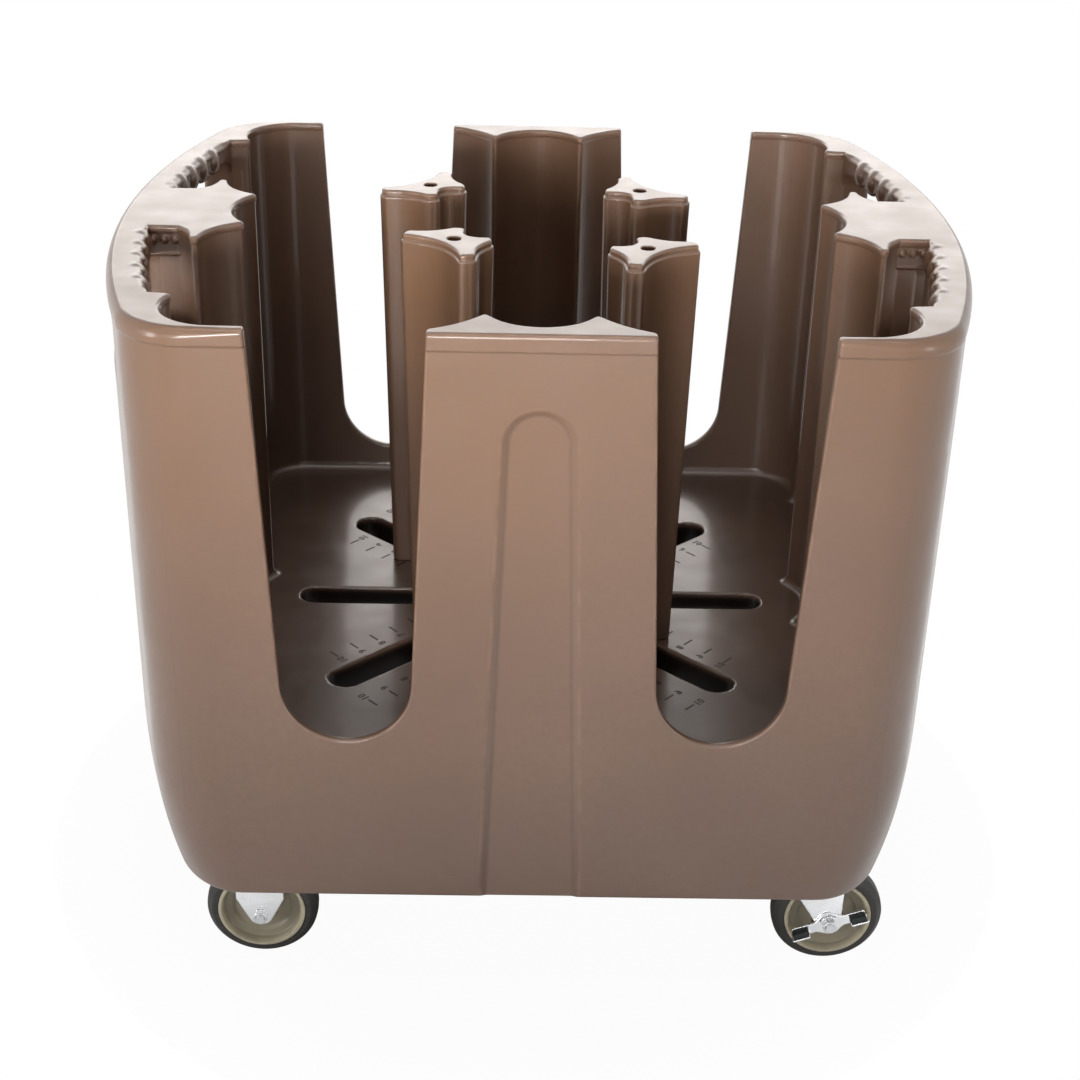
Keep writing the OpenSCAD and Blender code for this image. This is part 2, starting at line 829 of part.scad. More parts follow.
module swivel_fork(sy) {
    front_x = trail + leg_r + crown_rim;
    neck_z = crown_z - crown_t - rocker_hub_r / 2;
    color([0.86, 0.87, 0.89])
        translate([caster_x, sy * caster_y, 0])
            difference() {
                union() {
                    translate([0, 0, crown_z - crown_t])
                        linear_extrude(height = crown_t) {
                            circle(r = race_r, $fn = round_n);
                            translate([-race_r + race_wall, -leg_out])
                                square([front_x + race_r - race_wall, 2 * leg_out]);
                        }
                    translate([0, 0, crown_z - crown_rim])
                        linear_extrude(height = race_gap - race_lip + crown_rim)
                            difference() {
                                circle(r = race_r, $fn = round_n);
                                circle(r = race_r - race_wall, $fn = round_n);
                            }
                    fork_legs(trail, [
                        [-race_r + race_wall, crown_z - crown_t / 2],
                        [-race_r + race_wall, neck_z],
                        [trail - rocker_reach, wheel_r + rocker_reach],
                        [trail - leg_r, wheel_r],
                        [trail + leg_r, wheel_r],
                        [front_x, crown_z - crown_t / 2]
                    ]);
                }
                translate([0, 0, crown_z - crown_t - over])
                    cylinder(r = king_r + run_gap, h = crown_t + 2 * over, $fn = round_n);
            }
}

// Place of each wheel's axle, with +Y turned to the outside of the body
module at_axle(c) {
    lag = c[1] > 0 ? trail : 0;
    translate([c[1] * caster_x + lag, c[2] * caster_y, wheel_r])
        mirror([0, c[2] < 0 ? 1 : 0, 0])
            children();
}
function rocker_y() = leg_out + touch_gap;
function nut_y(c) = c[1] > 0 ? rocker_y() + rocker_t + touch_gap : leg_out;

module rod_y(r, from_y, to_y, sides) {
    translate([0, from_y, 0])
        rotate([-90, 0, 0])
            cylinder(r = r, h = to_y - from_y, $fn = sides);
}

module axle_bolt(c) {
    color([0.75, 0.76, 0.78])
        at_axle(c) {
            rod_y(axle_r, -leg_out, nut_y(c) + axle_nut_h + axle_end, round_n);
            rod_y(axle_nut_r, -leg_out - axle_head_h, -leg_out, 6);
        }
}

module axle_nut(c) {
    y = nut_y(c);
    color([0.75, 0.76, 0.78])
        at_axle(c)
            difference() {
                rod_y(axle_nut_r, y, y + axle_nut_h, 6);
                rod_y(axle_r, y - over, y + axle_nut_h + over, round_n);
            }
}

module axle_sleeve(c) {
    color([0.7, 0.71, 0.73])
        at_axle(c)
            difference() {
                rod_y(sleeve_r, -fork_gap / 2, fork_gap / 2, round_n);
                rod_y(axle_r, -fork_gap / 2 - over, fork_gap / 2 + over, round_n);
            }
}

// The wheel hub: bore, boss, thin web and the rim that carries the tyre
module hub(c) {
    bore = sleeve_r + run_gap;
    back = fork_gap / 2 - boss_in;
    face = c[1] > 0 ? fork_gap / 2 - touch_gap - disc_t - disc_gap : back;
    rim = tyre_w / 2 + hub_lip;
    bed = hub_r - hub_wall;
    color([0.77, 0.73, 0.6])
        at_axle(c)
            rotate([-90, 0, 0])
                rotate_extrude($fn = round_n)
                    polygon([
                        [bore, -back], [boss_r, -back], [boss_r + over, -web_half],
                        [bed - over, -web_half], [bed, web_half - rim], [bed + over, -rim],
                        [hub_r, -rim], [hub_r, rim], [bed + over, rim], [bed, rim - web_half],
                        [bed - over, web_half], [boss_r + over, web_half], [boss_r, face],
                        [bore, face]
                    ]);
}

module tyre(c) {
    side = tyre_w / 2;
    wall = wheel_r - hub_r;
    shoulder = [wheel_r - wall * 0.55, side];
    tread = [wheel_r, side * 0.45];
    color([0.27, 0.26, 0.26])
        at_axle(c)
            rotate([-90, 0, 0])
                rotate_extrude($fn = round_n)
                    polygon(concat(
                        [[hub_r, side], shoulder],
                        bow(shoulder, tread, wall * 0.2),
                        back_from(turned(concat([shoulder], bow(shoulder, tread, wall * 0.2)), 1, -1), 1),
                        [[hub_r, -side]]
                    ));
}

// The rocker arms slope down towards -X
module at_rocker(c) {
    at_axle(c)
        rotate([0, -rocker_tilt, 0])
            children();
}

module brake_rocker(c) {
    color([0.86, 0.87, 0.89])
        at_rocker(c)
            translate([0, rocker_y() + rocker_t, 0])
                rotate([90, 0, 0])
                    linear_extrude(height = rocker_t)
                        difference() {
                            union() {
                                circle(r = rocker_hub_r, $fn = round_n);
                                square([2 * rocker_reach, rocker_w], center = true);
                            }
                            circle(r = axle_r + run_gap, $fn = round_n);
                        }
}

module brake_pads(c) {
    color([0.1, 0.13, 0.12])
        at_rocker(c)
            for (sx = [-1, 1])
                translate([sx * (rocker_reach - pad_l / 2), rocker_y() + rocker_t + pad_t, 0])
                    rotate([90, 0, 0])
                        linear_extrude(height = pad_t)
                            rounded_rect(pad_l, pad_h, pad_h / 4);
}

module brake_disc(c) {
    y = fork_gap / 2 - touch_gap;
    color([0.45, 0.4, 0.34])
        at_axle(c)
            difference() {
                rod_y(disc_r, y - disc_t, y, round_n);
                rod_y(sleeve_r + run_gap, y - disc_t - over, y + over, round_n);
            }
}

body();
caster_inserts();
caster_bolts();
caster_washers();
for (i = [0:3]) {
    c = CORNERS[i];
    divider(i);
    tie_bolt(i);
    clamp_plate(i);
    clamp_knob(i);
    axle_bolt(c);
    axle_nut(c);
    axle_sleeve(c);
    hub(c);
    tyre(c);
}
for (s = SWIVELS) {
    c = [s[0], 1, s[1]];
    rigid_bracket(s[1]);
    swivel_plate(s[1]);
    king_bolt(s[1]);
    swivel_balls(s[1]);
    swivel_fork(s[1]);
    brake_rocker(c);
    brake_pads(c);
    brake_disc(c);
}
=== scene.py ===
# %% [markdown]
# # A moulded dish dolly
# A dish dolly carries stacks of plates. Its body is one hollow plastic moulding, four four-armed
# posts stand in it and slide along slots, and it rolls on two rigid and two swivel casters.
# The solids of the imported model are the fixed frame. The bodies, posts, wheels and brackets that
# show get finer surfaces here, and the small steel parts keep their solids and get a finish.

import json
from concurrent.futures import ThreadPoolExecutor

import bmesh
import bpy
import numpy as np
from mathutils import Matrix, Vector

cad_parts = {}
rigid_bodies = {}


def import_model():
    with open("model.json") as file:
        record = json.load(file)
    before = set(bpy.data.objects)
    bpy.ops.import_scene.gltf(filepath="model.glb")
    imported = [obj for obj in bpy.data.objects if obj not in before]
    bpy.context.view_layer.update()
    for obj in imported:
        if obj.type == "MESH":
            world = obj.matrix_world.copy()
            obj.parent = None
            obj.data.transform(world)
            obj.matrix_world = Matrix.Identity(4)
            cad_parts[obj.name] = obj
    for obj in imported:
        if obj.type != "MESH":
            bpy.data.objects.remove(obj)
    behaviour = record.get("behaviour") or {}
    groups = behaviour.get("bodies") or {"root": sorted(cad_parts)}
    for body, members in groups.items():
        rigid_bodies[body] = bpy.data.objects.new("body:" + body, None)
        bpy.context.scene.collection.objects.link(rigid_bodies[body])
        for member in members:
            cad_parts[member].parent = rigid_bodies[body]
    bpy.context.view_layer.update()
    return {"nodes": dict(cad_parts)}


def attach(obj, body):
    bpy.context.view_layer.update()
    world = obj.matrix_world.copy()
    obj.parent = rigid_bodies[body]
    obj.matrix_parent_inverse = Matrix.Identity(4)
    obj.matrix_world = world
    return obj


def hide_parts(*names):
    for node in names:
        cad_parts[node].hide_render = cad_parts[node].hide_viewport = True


for thing in list(bpy.data.objects):
    bpy.data.objects.remove(thing)
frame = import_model()
nodes = frame["nodes"]
MM = 0.001
CORNERS = {"fl": (-1, -1), "fr": (1, -1), "rl": (-1, 1), "rr": (1, 1)}
ENDS = {"front": -1, "rear": 1}

# %% [markdown]
# ## The camera
# The photograph was taken from a little over the rim, about two metres away. The place, turn and
# lens were worked out from the rim, the openings, the slots and the wheels together. A matrix of
# the camera's own axes holds yaw, pitch and roll at once, and the picture is square.

# %% The camera
CAMERA_AT = np.array([-26.1, -1981.1, 1396.7]) * MM
CAMERA_PITCH, CAMERA_YAW, CAMERA_ROLL = 0.47104, -0.01793, 0.02442
CAMERA_LENS, SENSOR = 61.21, 36


def camera_axes(pitch, yaw, roll):
    """Right, up and backward axes of a camera that looks along +Y, pitched down, then rolled."""
    right = np.array([np.cos(yaw), np.sin(yaw), 0])
    ahead = np.array([-np.sin(yaw) * np.cos(pitch), np.cos(yaw) * np.cos(pitch), -np.sin(pitch)])
    up = np.cross(right, ahead)
    return np.array([
        np.cos(roll) * right + np.sin(roll) * up,
        -np.sin(roll) * right + np.cos(roll) * up,
        -ahead,
    ])


camera = bpy.data.objects.new("camera", bpy.data.cameras.new("camera"))
camera.data.lens, camera.data.sensor_width = CAMERA_LENS, SENSOR
turn = Matrix(camera_axes(CAMERA_PITCH, CAMERA_YAW, CAMERA_ROLL).T.tolist()).to_4x4()
camera.matrix_world = Matrix.Translation(CAMERA_AT.tolist()) @ turn
bpy.context.collection.objects.link(camera)
bpy.context.scene.camera = camera
print("camera at", CAMERA_AT, "lens", CAMERA_LENS)

# %% [markdown]
# ## Light and floor
# The photograph has soft studio light on white: pale top faces, which mirror a bright wall behind
# the dolly, soft upright highlights on the round corners, and a dark inside. Large soft lamps give
# that, one behind and above, one overhead, a narrow one in front and two at the front corners. The
# world, and the floor away from the dolly, look white to the camera and in reflections. Near the
# dolly the floor still takes its shadow, and its reflections don't whiten the underside.

# %% Nodes
def node(tree, kind, sockets=(), **settings):
    """A node with its settings, and with sockets fed by a value or by another node's output."""
    made = tree.nodes.new("ShaderNode" + kind)
    for key, value in settings.items():
        setattr(made, key, value)
    for key, value in dict(sockets).items():
        if isinstance(value, bpy.types.NodeSocket):
            tree.links.new(value, made.inputs[key])
        else:
            made.inputs[key].default_value = value
    return made


def times(tree, a, b):
    """The product of two values."""
    return node(tree, "Math", {0: a, 1: b}, operation="MULTIPLY").outputs[0]


def spread(tree, value, low, high, start=0.3, end=0.7):
    """The value stretched from start..end to low..high, and held between these."""
    return node(tree, "MapRange", {0: value, 1: start, 2: end, 3: low, 4: high}).outputs[0]


def seen_ray(tree):
    """One for rays from the camera, a mirror or a glass, and zero for rays that carry light."""
    path = node(tree, "LightPath").outputs
    seen = node(tree, "Math", {0: path["Is Camera Ray"], 1: path["Is Glossy Ray"]}, operation="ADD")
    return node(tree, "Math", {0: seen.outputs[0], 1: path["Is Transmission Ray"]}, operation="ADD",
                use_clamp=True).outputs[0]


# %% Lamps
def softbox(name, at, aim, wide, high, bright, beam=180, colour=(1, 1, 1)):
    """A rectangular lamp that faces a point. Its power is four times its area times how bright
    its face looks. A grid in front narrows its beam, in degrees: the power is then lowered by
    the share of light that the grid holds back, so the face looks as bright from straight ahead."""
    lamp = bpy.data.lights.new(name, "AREA")
    lamp.shape, lamp.size, lamp.size_y, lamp.color = "RECTANGLE", wide, high, colour
    half = np.radians(beam) / 2
    held = 1 if beam == 180 else 1 - half / np.tan(half)
    lamp.energy, lamp.spread = 4 * wide * high * bright * held, 2 * half
    holder = bpy.data.objects.new(name, lamp)
    holder.location = at
    holder.rotation_euler = (Vector(aim) - Vector(at)).to_track_quat("-Z", "Y").to_euler()
    holder.visible_camera = False
    bpy.context.collection.objects.link(holder)


WARM_WHITE = (1, 0.93, 0.88)
softbox("back_wall", (0, 3.6, 1.85), (0, 0, 0.7), 4.2, 1.1, 2.0, colour=WARM_WHITE)
softbox("overhead", (0, -1.2, 3.2), (0, -0.3, 0.6), 3.0, 0.16, 9.0, 90)
softbox("front_key", (-0.45, -2.7, 0.9), (-0.08, -0.38, 0.86), 1.3, 0.5, 40, 38)
softbox("front_left", (-3.1, -2.1, 0.9), (-0.3, -0.2, 0.6), 0.7, 1.5, 8.0, 110)
softbox("front_right", (3.2, -2.1, 0.9), (0.3, -0.2, 0.6), 0.6, 1.5, 4.5, 110)
print("lamps", [light.name for light in bpy.data.lights])

# %% World and floor
WORLD_LIGHT, FLOOR_TONE = 0.03, 0.86
FLOOR_CORNERS = [(-9, -9, 0), (9, -9, 0), (9, 9, 0), (-9, 9, 0)]
NEAR_GLOW, GLOW_START, GLOW_FULL = 0.965, 0.45, 0.75
MIRROR_START, MIRROR_FULL = 0.4, 0.6

world = bpy.data.worlds.new("studio")
bpy.context.scene.world = world
world.use_nodes = True
tree = world.node_tree
tree.nodes.clear()
dim = node(tree, "Background", {"Color": (1, 1, 1, 1), "Strength": WORLD_LIGHT})
white = node(tree, "Background", {"Color": (1, 1, 1, 1), "Strength": 1.0})
mixed = node(tree, "MixShader", {0: seen_ray(tree), 1: dim.outputs[0], 2: white.outputs[0]})
node(tree, "OutputWorld", {"Surface": mixed.outputs[0]})

floor_mesh = bpy.data.meshes.new("studio_floor")
floor_mesh.from_pydata(FLOOR_CORNERS, [], [(0, 1, 2, 3)])
floor = bpy.data.objects.new("studio_floor", floor_mesh)
bpy.context.collection.objects.link(floor)
paint = bpy.data.materials.new("floor_paint")
paint.use_nodes = True
tree = paint.node_tree
tree.nodes.clear()
matt = node(tree, "BsdfDiffuse", {"Color": (FLOOR_TONE, FLOOR_TONE, FLOOR_TONE, 1)})
glow = node(tree, "Emission", {"Color": (1, 1, 1, 1), "Strength": 1.0})
away = node(tree, "VectorMath", {0: node(tree, "TexCoord").outputs["Object"]}, operation="LENGTH")
away = away.outputs["Value"]
straight = times(tree, node(tree, "LightPath").outputs["Is Camera Ray"],
                 spread(tree, away, NEAR_GLOW, 1, GLOW_START, GLOW_FULL))
mirrored = times(tree, seen_ray(tree), spread(tree, away, 0, 1, MIRROR_START, MIRROR_FULL))
share = node(tree, "Math", {0: straight, 1: mirrored}, operation="MAXIMUM")
mixed = node(tree, "MixShader", {0: share.outputs[0], 1: matt.outputs[0], 2: glow.outputs[0]})
node(tree, "OutputMaterial", {"Surface": mixed.outputs[0]})
floor_mesh.materials.append(paint)
bpy.context.scene.view_settings.view_transform = "Standard"
print("stage", floor.name, world.name)

# %% [markdown]
# ## Shapes as distance fields
# A rotational moulding has no sharp edge anywhere: each opening melts into the wall through a
# rounded lip. So the body is described by a distance field, a number at each point of space that
# is negative inside the plastic and grows by one for each millimetre away from its skin. Simple
# solids are cut and joined by taking the larger or smaller of two fields, and a quarter circle
# between the two rounds the edge that they make.

# %% Cutting and joining with round edges
def cut_round(a, b, r):
    """What is inside both a and b: their larger distance, and, within r of both, the distance
    to a quarter circle of radius r."""
    corner = np.hypot(np.maximum(a + r, 0), np.maximum(b + r, 0))
    return np.minimum(np.maximum(a, b), -r) + corner


def join_round(a, b, r):
    """What is inside a or b: their smaller distance, with the inner corner filled to radius r."""
    corner = np.hypot(np.maximum(r - a, 0), np.maximum(r - b, 0))
    return np.maximum(np.minimum(a, b), r) - corner


def grown(a, b, r):
    """What is inside both a and b, grown by r all round, so that it gets corners of radius r."""
    return np.hypot(np.maximum(a, 0), np.maximum(b, 0)) + np.minimum(np.maximum(a, b), 0) - r


def ease(value, start, end):
    """Zero before start, one after end, and a smooth S curve between."""
    t = np.clip((value - start) / (end - start), 0, 1)
    return t * t * (3 - 2 * t)


# %% Outlines in plan
def bow(p, q, sag, n=12):
    """Points after p up to q on a parabola whose middle lies sag to the left of the line."""
    p, q = np.array(p, float), np.array(q, float)
    t = np.arange(1, n + 1)[:, None] / n
    side = np.array([p[1] - q[1], q[0] - p[0]]) / np.hypot(*(q - p))
    return p + (q - p) * t + side * 4 * sag * t * (1 - t)


def arc(middle, r, start, end, n=20):
    """Points on a circle from one angle to another, in degrees."""
    t = np.radians(np.linspace(start, end, n))
    return np.array(middle) + r * np.stack([np.cos(t), np.sin(t)], 1)


def outline_distance(x, y, points, open_sides=0):
    """Distance to an outline, negative inside: the least distance to any of its sides, with the
    sign from how many sides a ray crosses. The last open_sides sides count for the sign only."""
    best = np.full(np.broadcast(x, y).shape, 1e9, np.float32)
    inside = np.zeros(best.shape, bool)
    ends = np.roll(points, -1, 0)
    for k, ((x0, y0), (x1, y1)) in enumerate(zip(points.tolist(), ends.tolist())):
        ex, ey = x1 - x0, y1 - y0
        if k < len(points) - open_sides:
            t = np.clip(((x - x0) * ex + (y - y0) * ey) / (ex * ex + ey * ey), 0, 1)
            best = np.minimum(best, (x - x0 - t * ex) ** 2 + (y - y0 - t * ey) ** 2)
        if ey:
            inside ^= ((y0 > y) != (y1 > y)) & (x < x0 + (y - y0) * (ex / ey))
    return np.where(inside, -1, 1) * np.sqrt(best)


def tall_arch(x, up, r, half_w, height):
    """Distance to an arch in its own plane: a circle of radius r at the middle, and two straight
    sides that touch it and stand half_w from the middle line at that height above it."""
    lean = np.arccos(r / np.hypot(half_w, height)) - np.arctan2(height, half_w)
    x = np.abs(x)
    on_side = x * np.sin(lean) + up * np.cos(lean) > 0
    return np.where(on_side, x * np.cos(lean) - up * np.sin(lean), np.hypot(x, up)) - r


# %% [markdown]
# ## The skin of a field
# Surface nets turn a field into a mesh: every box of a grid that the skin passes through gets one
# corner, at the mean of the points where the skin crosses the box's edges, and every grid edge
# that crosses the skin gets one four-sided face. The grid is fine where edges are rounded and
# coarse where walls run straight. The flat parts are then thinned, and each corner is moved onto
# the true skin and given the field's own direction as its normal, so highlights run smoothly.

# %% A field's skin as a mesh
def steps(*spans, coarse=1):
    """Grid places from spans of (start, end, step), with each step made longer by a factor."""
    parts = [np.linspace(a, b, max(2, round((b - a) / (s * coarse)) + 1))[:-1] for a, b, s in spans]
    return np.append(np.concatenate(parts), spans[-1][1])


def both_sides(half):
    """A grid axis that is the same on both sides of zero."""
    return np.concatenate([-half[:0:-1], half])


def sample(field, xs, ys, zs, slabs=32):
    """The field at all points of a grid, worked out in slabs side by side."""
    parts = np.array_split(xs.astype(np.float32), slabs)
    y, z = ys.astype(np.float32)[None, :, None], zs.astype(np.float32)[None, None, :]
    with ThreadPoolExecutor(4) as pool:
        slabs = pool.map(lambda part: field(part[:, None, None], y, z).astype(np.float32), parts)
        return np.concatenate(list(slabs))


def surface_net(values, xs, ys, zs):
    """Corners and faces of the surface where the values pass zero."""
    inside = values < 0
    offsets = np.array([(i, j, k) for i in (0, 1) for j in (0, 1) for k in (0, 1)])
    full = [inside[i:, j:, k:][: len(xs) - 1, : len(ys) - 1, : len(zs) - 1] for i, j, k in offsets]
    count = sum(part.astype(np.int8) for part in full)
    cells = np.argwhere((count > 0) & (count < 8))
    number = np.zeros(count.shape, np.int32)
    number[tuple(cells.T)] = np.arange(len(cells))

    def place(corner):
        """Where that corner of each crossed box is."""
        return np.stack([axis[cells[:, n] + corner[n]] for n, axis in enumerate((xs, ys, zs))], 1)

    total, weight = np.zeros((len(cells), 3)), np.zeros((len(cells), 1))
    for a in offsets:
        for b in offsets[((offsets - a).sum(1) == 1) & (offsets >= a).all(1)]:
            va, vb = values[tuple((cells + a).T)], values[tuple((cells + b).T)]
            hit = (va < 0) != (vb < 0)
            t = np.where(hit, va / np.where(hit, va - vb, 1), 0)[:, None]
            pa, pb = place(a), place(b)
            total += (pa + t * (pb - pa)) * hit[:, None]
            weight += hit[:, None]
    faces = []
    for n in range(3):
        low = np.take(inside, range(inside.shape[n] - 1), n)
        high = np.take(inside, range(1, inside.shape[n]), n)
        u, v = np.eye(3, dtype=int)[(n + 1) % 3], np.eye(3, dtype=int)[(n + 2) % 3]
        for first, second, order in ((low, ~high, (0, 1, 2, 3)), (~low, high, (3, 2, 1, 0))):
            edge = np.argwhere(first & second)
            ring = np.stack([number[tuple((edge - d).T)] for d in (u + v, v, 0 * u, u)], 1)
            faces.append(ring[:, order])
    return total / weight, np.concatenate(faces)


def slope(field, points, step=0.2):
    """How the field grows along each axis, from four samples at a tetrahedron's corners."""
    corners = np.array([(1, -1, -1), (-1, -1, 1), (-1, 1, -1), (1, 1, 1)])
    return sum(c * field(*(points + step * c).T)[:, None] for c in corners) / (4 * step)


# %% Meshes from arrays
def new_mesh(name, corners, faces):
    """A mesh from whole arrays of corners in metres and of faces with equal numbers of sides."""
    mesh = bpy.data.meshes.new(name)
    mesh.vertices.add(len(corners))
    mesh.vertices.foreach_set("co", corners.astype(np.float32).ravel())
    sides = faces.shape[1]
    mesh.loops.add(faces.size)
    mesh.loops.foreach_set("vertex_index", faces.astype(np.int32).ravel())
    mesh.polygons.add(len(faces))
    mesh.polygons.foreach_set("loop_start", np.arange(len(faces), dtype=np.int32) * sides)
    mesh.update(calc_edges=True)
    mesh.validate()
    mesh.polygons.foreach_set("use_smooth", np.ones(len(mesh.polygons), bool))
    return mesh


def new_piece(name, mesh, body, replaced, material):
    """An object for a finished mesh, riding on a CAD body in place of CAD nodes."""
    piece = bpy.data.objects.new(name, mesh)
    bpy.context.collection.objects.link(piece)
    mesh.materials.append(material)
    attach(piece, body)
    if replaced:
        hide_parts(*replaced)


def thinned(mesh, triangles):
    """The same mesh in fewer triangles, taken where it is flattest."""
    holder = bpy.data.objects.new(mesh.name + "_full", mesh)
    bpy.context.collection.objects.link(holder)
    holder.modifiers.new("split", "TRIANGULATE")
    thin = holder.modifiers.new("thin", "DECIMATE")
    thin.ratio = min(1, triangles / (2 * len(mesh.polygons)))
    thin.use_collapse_triangulate = True
    ready = holder.evaluated_get(bpy.context.evaluated_depsgraph_get())
    baked = bpy.data.meshes.new_from_object(ready)
    bpy.data.objects.remove(holder)
    bpy.data.meshes.remove(mesh)
    return baked


def read_array(items, key, sides, kind=np.float32):
    """One value of every corner or loop of a mesh, as rows of an array."""
    values = np.empty(len(items) * (sides if kind is np.float32 else 1), kind)
    items.foreach_get(key, values)
    return values.reshape(-1, sides)


# %% Skins, and pieces from skins
EDGE_REACH, EDGE_R, LEAST_SLOPE = 2.0, 3.5, 0.25


def field_skin(field, xs, ys, zs, triangles):
    """Corners, triangles, normals and edge values of a field's skin: net, thinning, two steps
    onto the true skin. The edge value is the sum of the two curvatures, from the field on six
    points round a corner: one on a round edge of 3.5 mm, zero on a flat, negative in a hollow."""
    corners, faces = surface_net(sample(field, xs, ys, zs), xs, ys, zs)
    mesh = thinned(new_mesh("net", corners * MM, faces), triangles)
    points = read_array(mesh.vertices, "co", 3).astype(float) / MM
    triangle = read_array(mesh.loops, "vertex_index", 3, np.int32)
    bpy.data.meshes.remove(mesh)
    for _ in range(2):
        grad = slope(field, points)
        size = np.maximum((grad ** 2).sum(1), LEAST_SLOPE)
        points -= np.clip(field(*points.T) / size, -1, 1)[:, None] * grad
    grad = slope(field, points)
    normals = grad / np.maximum(np.linalg.norm(grad, axis=1, keepdims=True), 1e-9)
    six_sides = np.concatenate([np.eye(3), -np.eye(3)])
    around = sum(field(*(points + EDGE_REACH * side).T) for side in six_sides)
    edges = np.clip(EDGE_R * around / EDGE_REACH ** 2, -1, 1)
    return points, triangle, normals, edges


def skin_piece(name, skin, body, replaced, material, side=(1, 1), at=(0, 0, 0)):
    """A piece from a skin, mirrored across X or Y where a side is negative, and moved."""
    points, triangles, normals, edges = skin
    mirror = np.array([side[0], side[1], 1.0])
    if side[0] * side[1] < 0:
        triangles = triangles[:, ::-1]
    mesh = new_mesh(name, (points * mirror + at) * MM, triangles)
    mesh.normals_split_custom_set_from_vertices((normals * mirror).tolist())
    values = edges.astype(np.float32)
    mesh.attributes.new("edge", "FLOAT", "POINT").data.foreach_set("value", values)
    print(name, len(mesh.polygons), "triangles")
    new_piece(name, mesh, body, replaced, material)


# %% [markdown]
# ## Finishes
# Every finish is worked out from each point's own place, so no picture is needed. Moulded
# polyethylene is satin, never quite even in colour, more golden towards the rim, with a fine skin
# texture and a slight swell that makes broad highlights wander. Its outer edges are painted paler,
# partly as wear and partly as painted highlight, and painted shade darkens it deep inside, in the
# slots and along hollow edges. Zinc plating is a bright metal with faint rolling marks, and rubber
# is dark, dull and a little dusty.

# %% Patterns on object coordinates
def noise(tree, scale, detail=2.0, stretch=(1, 1, 1)):
    """Smooth random values from 0 to 1, with scale patches to the metre."""
    at = node(tree, "TexCoord").outputs["Object"]
    at = node(tree, "Mapping", {"Vector": at, "Scale": stretch}).outputs[0]
    return node(tree, "TexNoise", {"Vector": at, "Scale": scale, "Detail": detail}).outputs["Fac"]


def blended(tree, share, first, second):
    """A colour between two, by a share from zero to one."""
    mixing = node(tree, "Mix", {0: share, 6: first, 7: second}, data_type="RGBA")
    return mixing.outputs[2]


def relief(tree, height, depth, under=None):
    """A bump of that depth in metres, on top of another one."""
    sockets = {"Height": height, "Distance": depth}
    if under:
        sockets["Normal"] = under
    return node(tree, "Bump", sockets).outputs[0]


def finish(name, build, **steady):
    """A material from a function that adds its patterned sockets to the steady ones."""
    material = bpy.data.materials.new(name)
    material.use_nodes = True
    tree = material.node_tree
    tree.nodes.clear()
    sockets = {key.replace("_", " "): value for key, value in steady.items()}
    sockets.update(build(tree))
    shader = node(tree, "BsdfPrincipled", sockets)
    node(tree, "OutputMaterial", {"Surface": shader.outputs[0]})
    print("finish", name)
    return material


def shade(colour, factor):
    """A colour made lighter or darker."""
    return tuple(min(1.0, c * factor) for c in colour) + (1.0,)


def tinted(colour, tint):
    """A colour with each of its three parts changed by a factor."""
    return tuple(c * t for c, t in zip(colour, tint))


# %% Where painted shade darkens the plastic, and where it is more golden
END_BOW = 0.48


def places(tree):
    """Distances from the two upright middle planes, and the height, in metres."""
    at = node(tree, "SeparateXYZ", {0: node(tree, "TexCoord").outputs["Object"]}).outputs
    x, y = [node(tree, "Math", {0: at[k]}, operation="ABSOLUTE").outputs[0] for k in (0, 1)]
    return x, y, at[2]


def painted_deep_shade_share(tree):
    """Where painted shade darkens the plastic: one deep inside the dish space and zero outside it,
    rising over 27 cm below the rim. The end walls bow, so distance along the body is taken together
    with the square of y."""
    x, y, z = places(tree)
    bowed = node(tree, "Math", {0: times(tree, y, y), 1: END_BOW, 2: x}, operation="MULTIPLY_ADD")
    along = spread(tree, bowed.outputs[0], 1, 0, 0.425, 0.435)
    plan = times(tree, along, spread(tree, y, 1, 0, 0.3715, 0.3735))
    over_deck = spread(tree, z, 0, 1, 0.25, 0.27)
    return times(tree, plan, times(tree, spread(tree, z, 1, 0, 0.5, 0.77), over_deck))


def painted_slot_shade_share(tree):
    """Where painted shade darkens the plastic: one in the slots and the recess under the dish floor,
    and zero on the floor itself.
    """
    x, y, z = places(tree)
    plan = times(tree, spread(tree, x, 1, 0, 0.33, 0.335), spread(tree, y, 1, 0, 0.26, 0.265))
    below = times(tree, spread(tree, z, 1, 0, 0.3, 0.3065), spread(tree, z, 0, 1, 0.2, 0.25))
    return times(tree, plan, below)


def upper_share(tree):
    """Clouds that thicken towards the rim, where the plastic is more golden."""
    clouds = spread(tree, noise(tree, 4, 2, (1, 1, 0.7)), 0.35, 1, 0.35, 0.65)
    return times(tree, spread(tree, places(tree)[2], 0, 1, 0.36, 0.76), clouds)


# %% Moulded plastic
BROWN = (0.262, 0.153, 0.103)
GOLDEN, MILKY = (1, 0.88, 0.64), (1, 1.1, 1.2)
# Tones, in order: paler outer edges (partly wear, partly painted highlight), then painted shade deep
# inside with its share, painted shade in the slots and recess, and painted shade along hollow edges.
WEAR_AND_HIGHLIGHT_TONE, PAINTED_DEEP_SHADE, PAINTED_DEEP_SHARE, PAINTED_SLOT_SHADE, PAINTED_CREASE_SHADE = 1.8, 0.3, 0.62, 0.06, 0.62


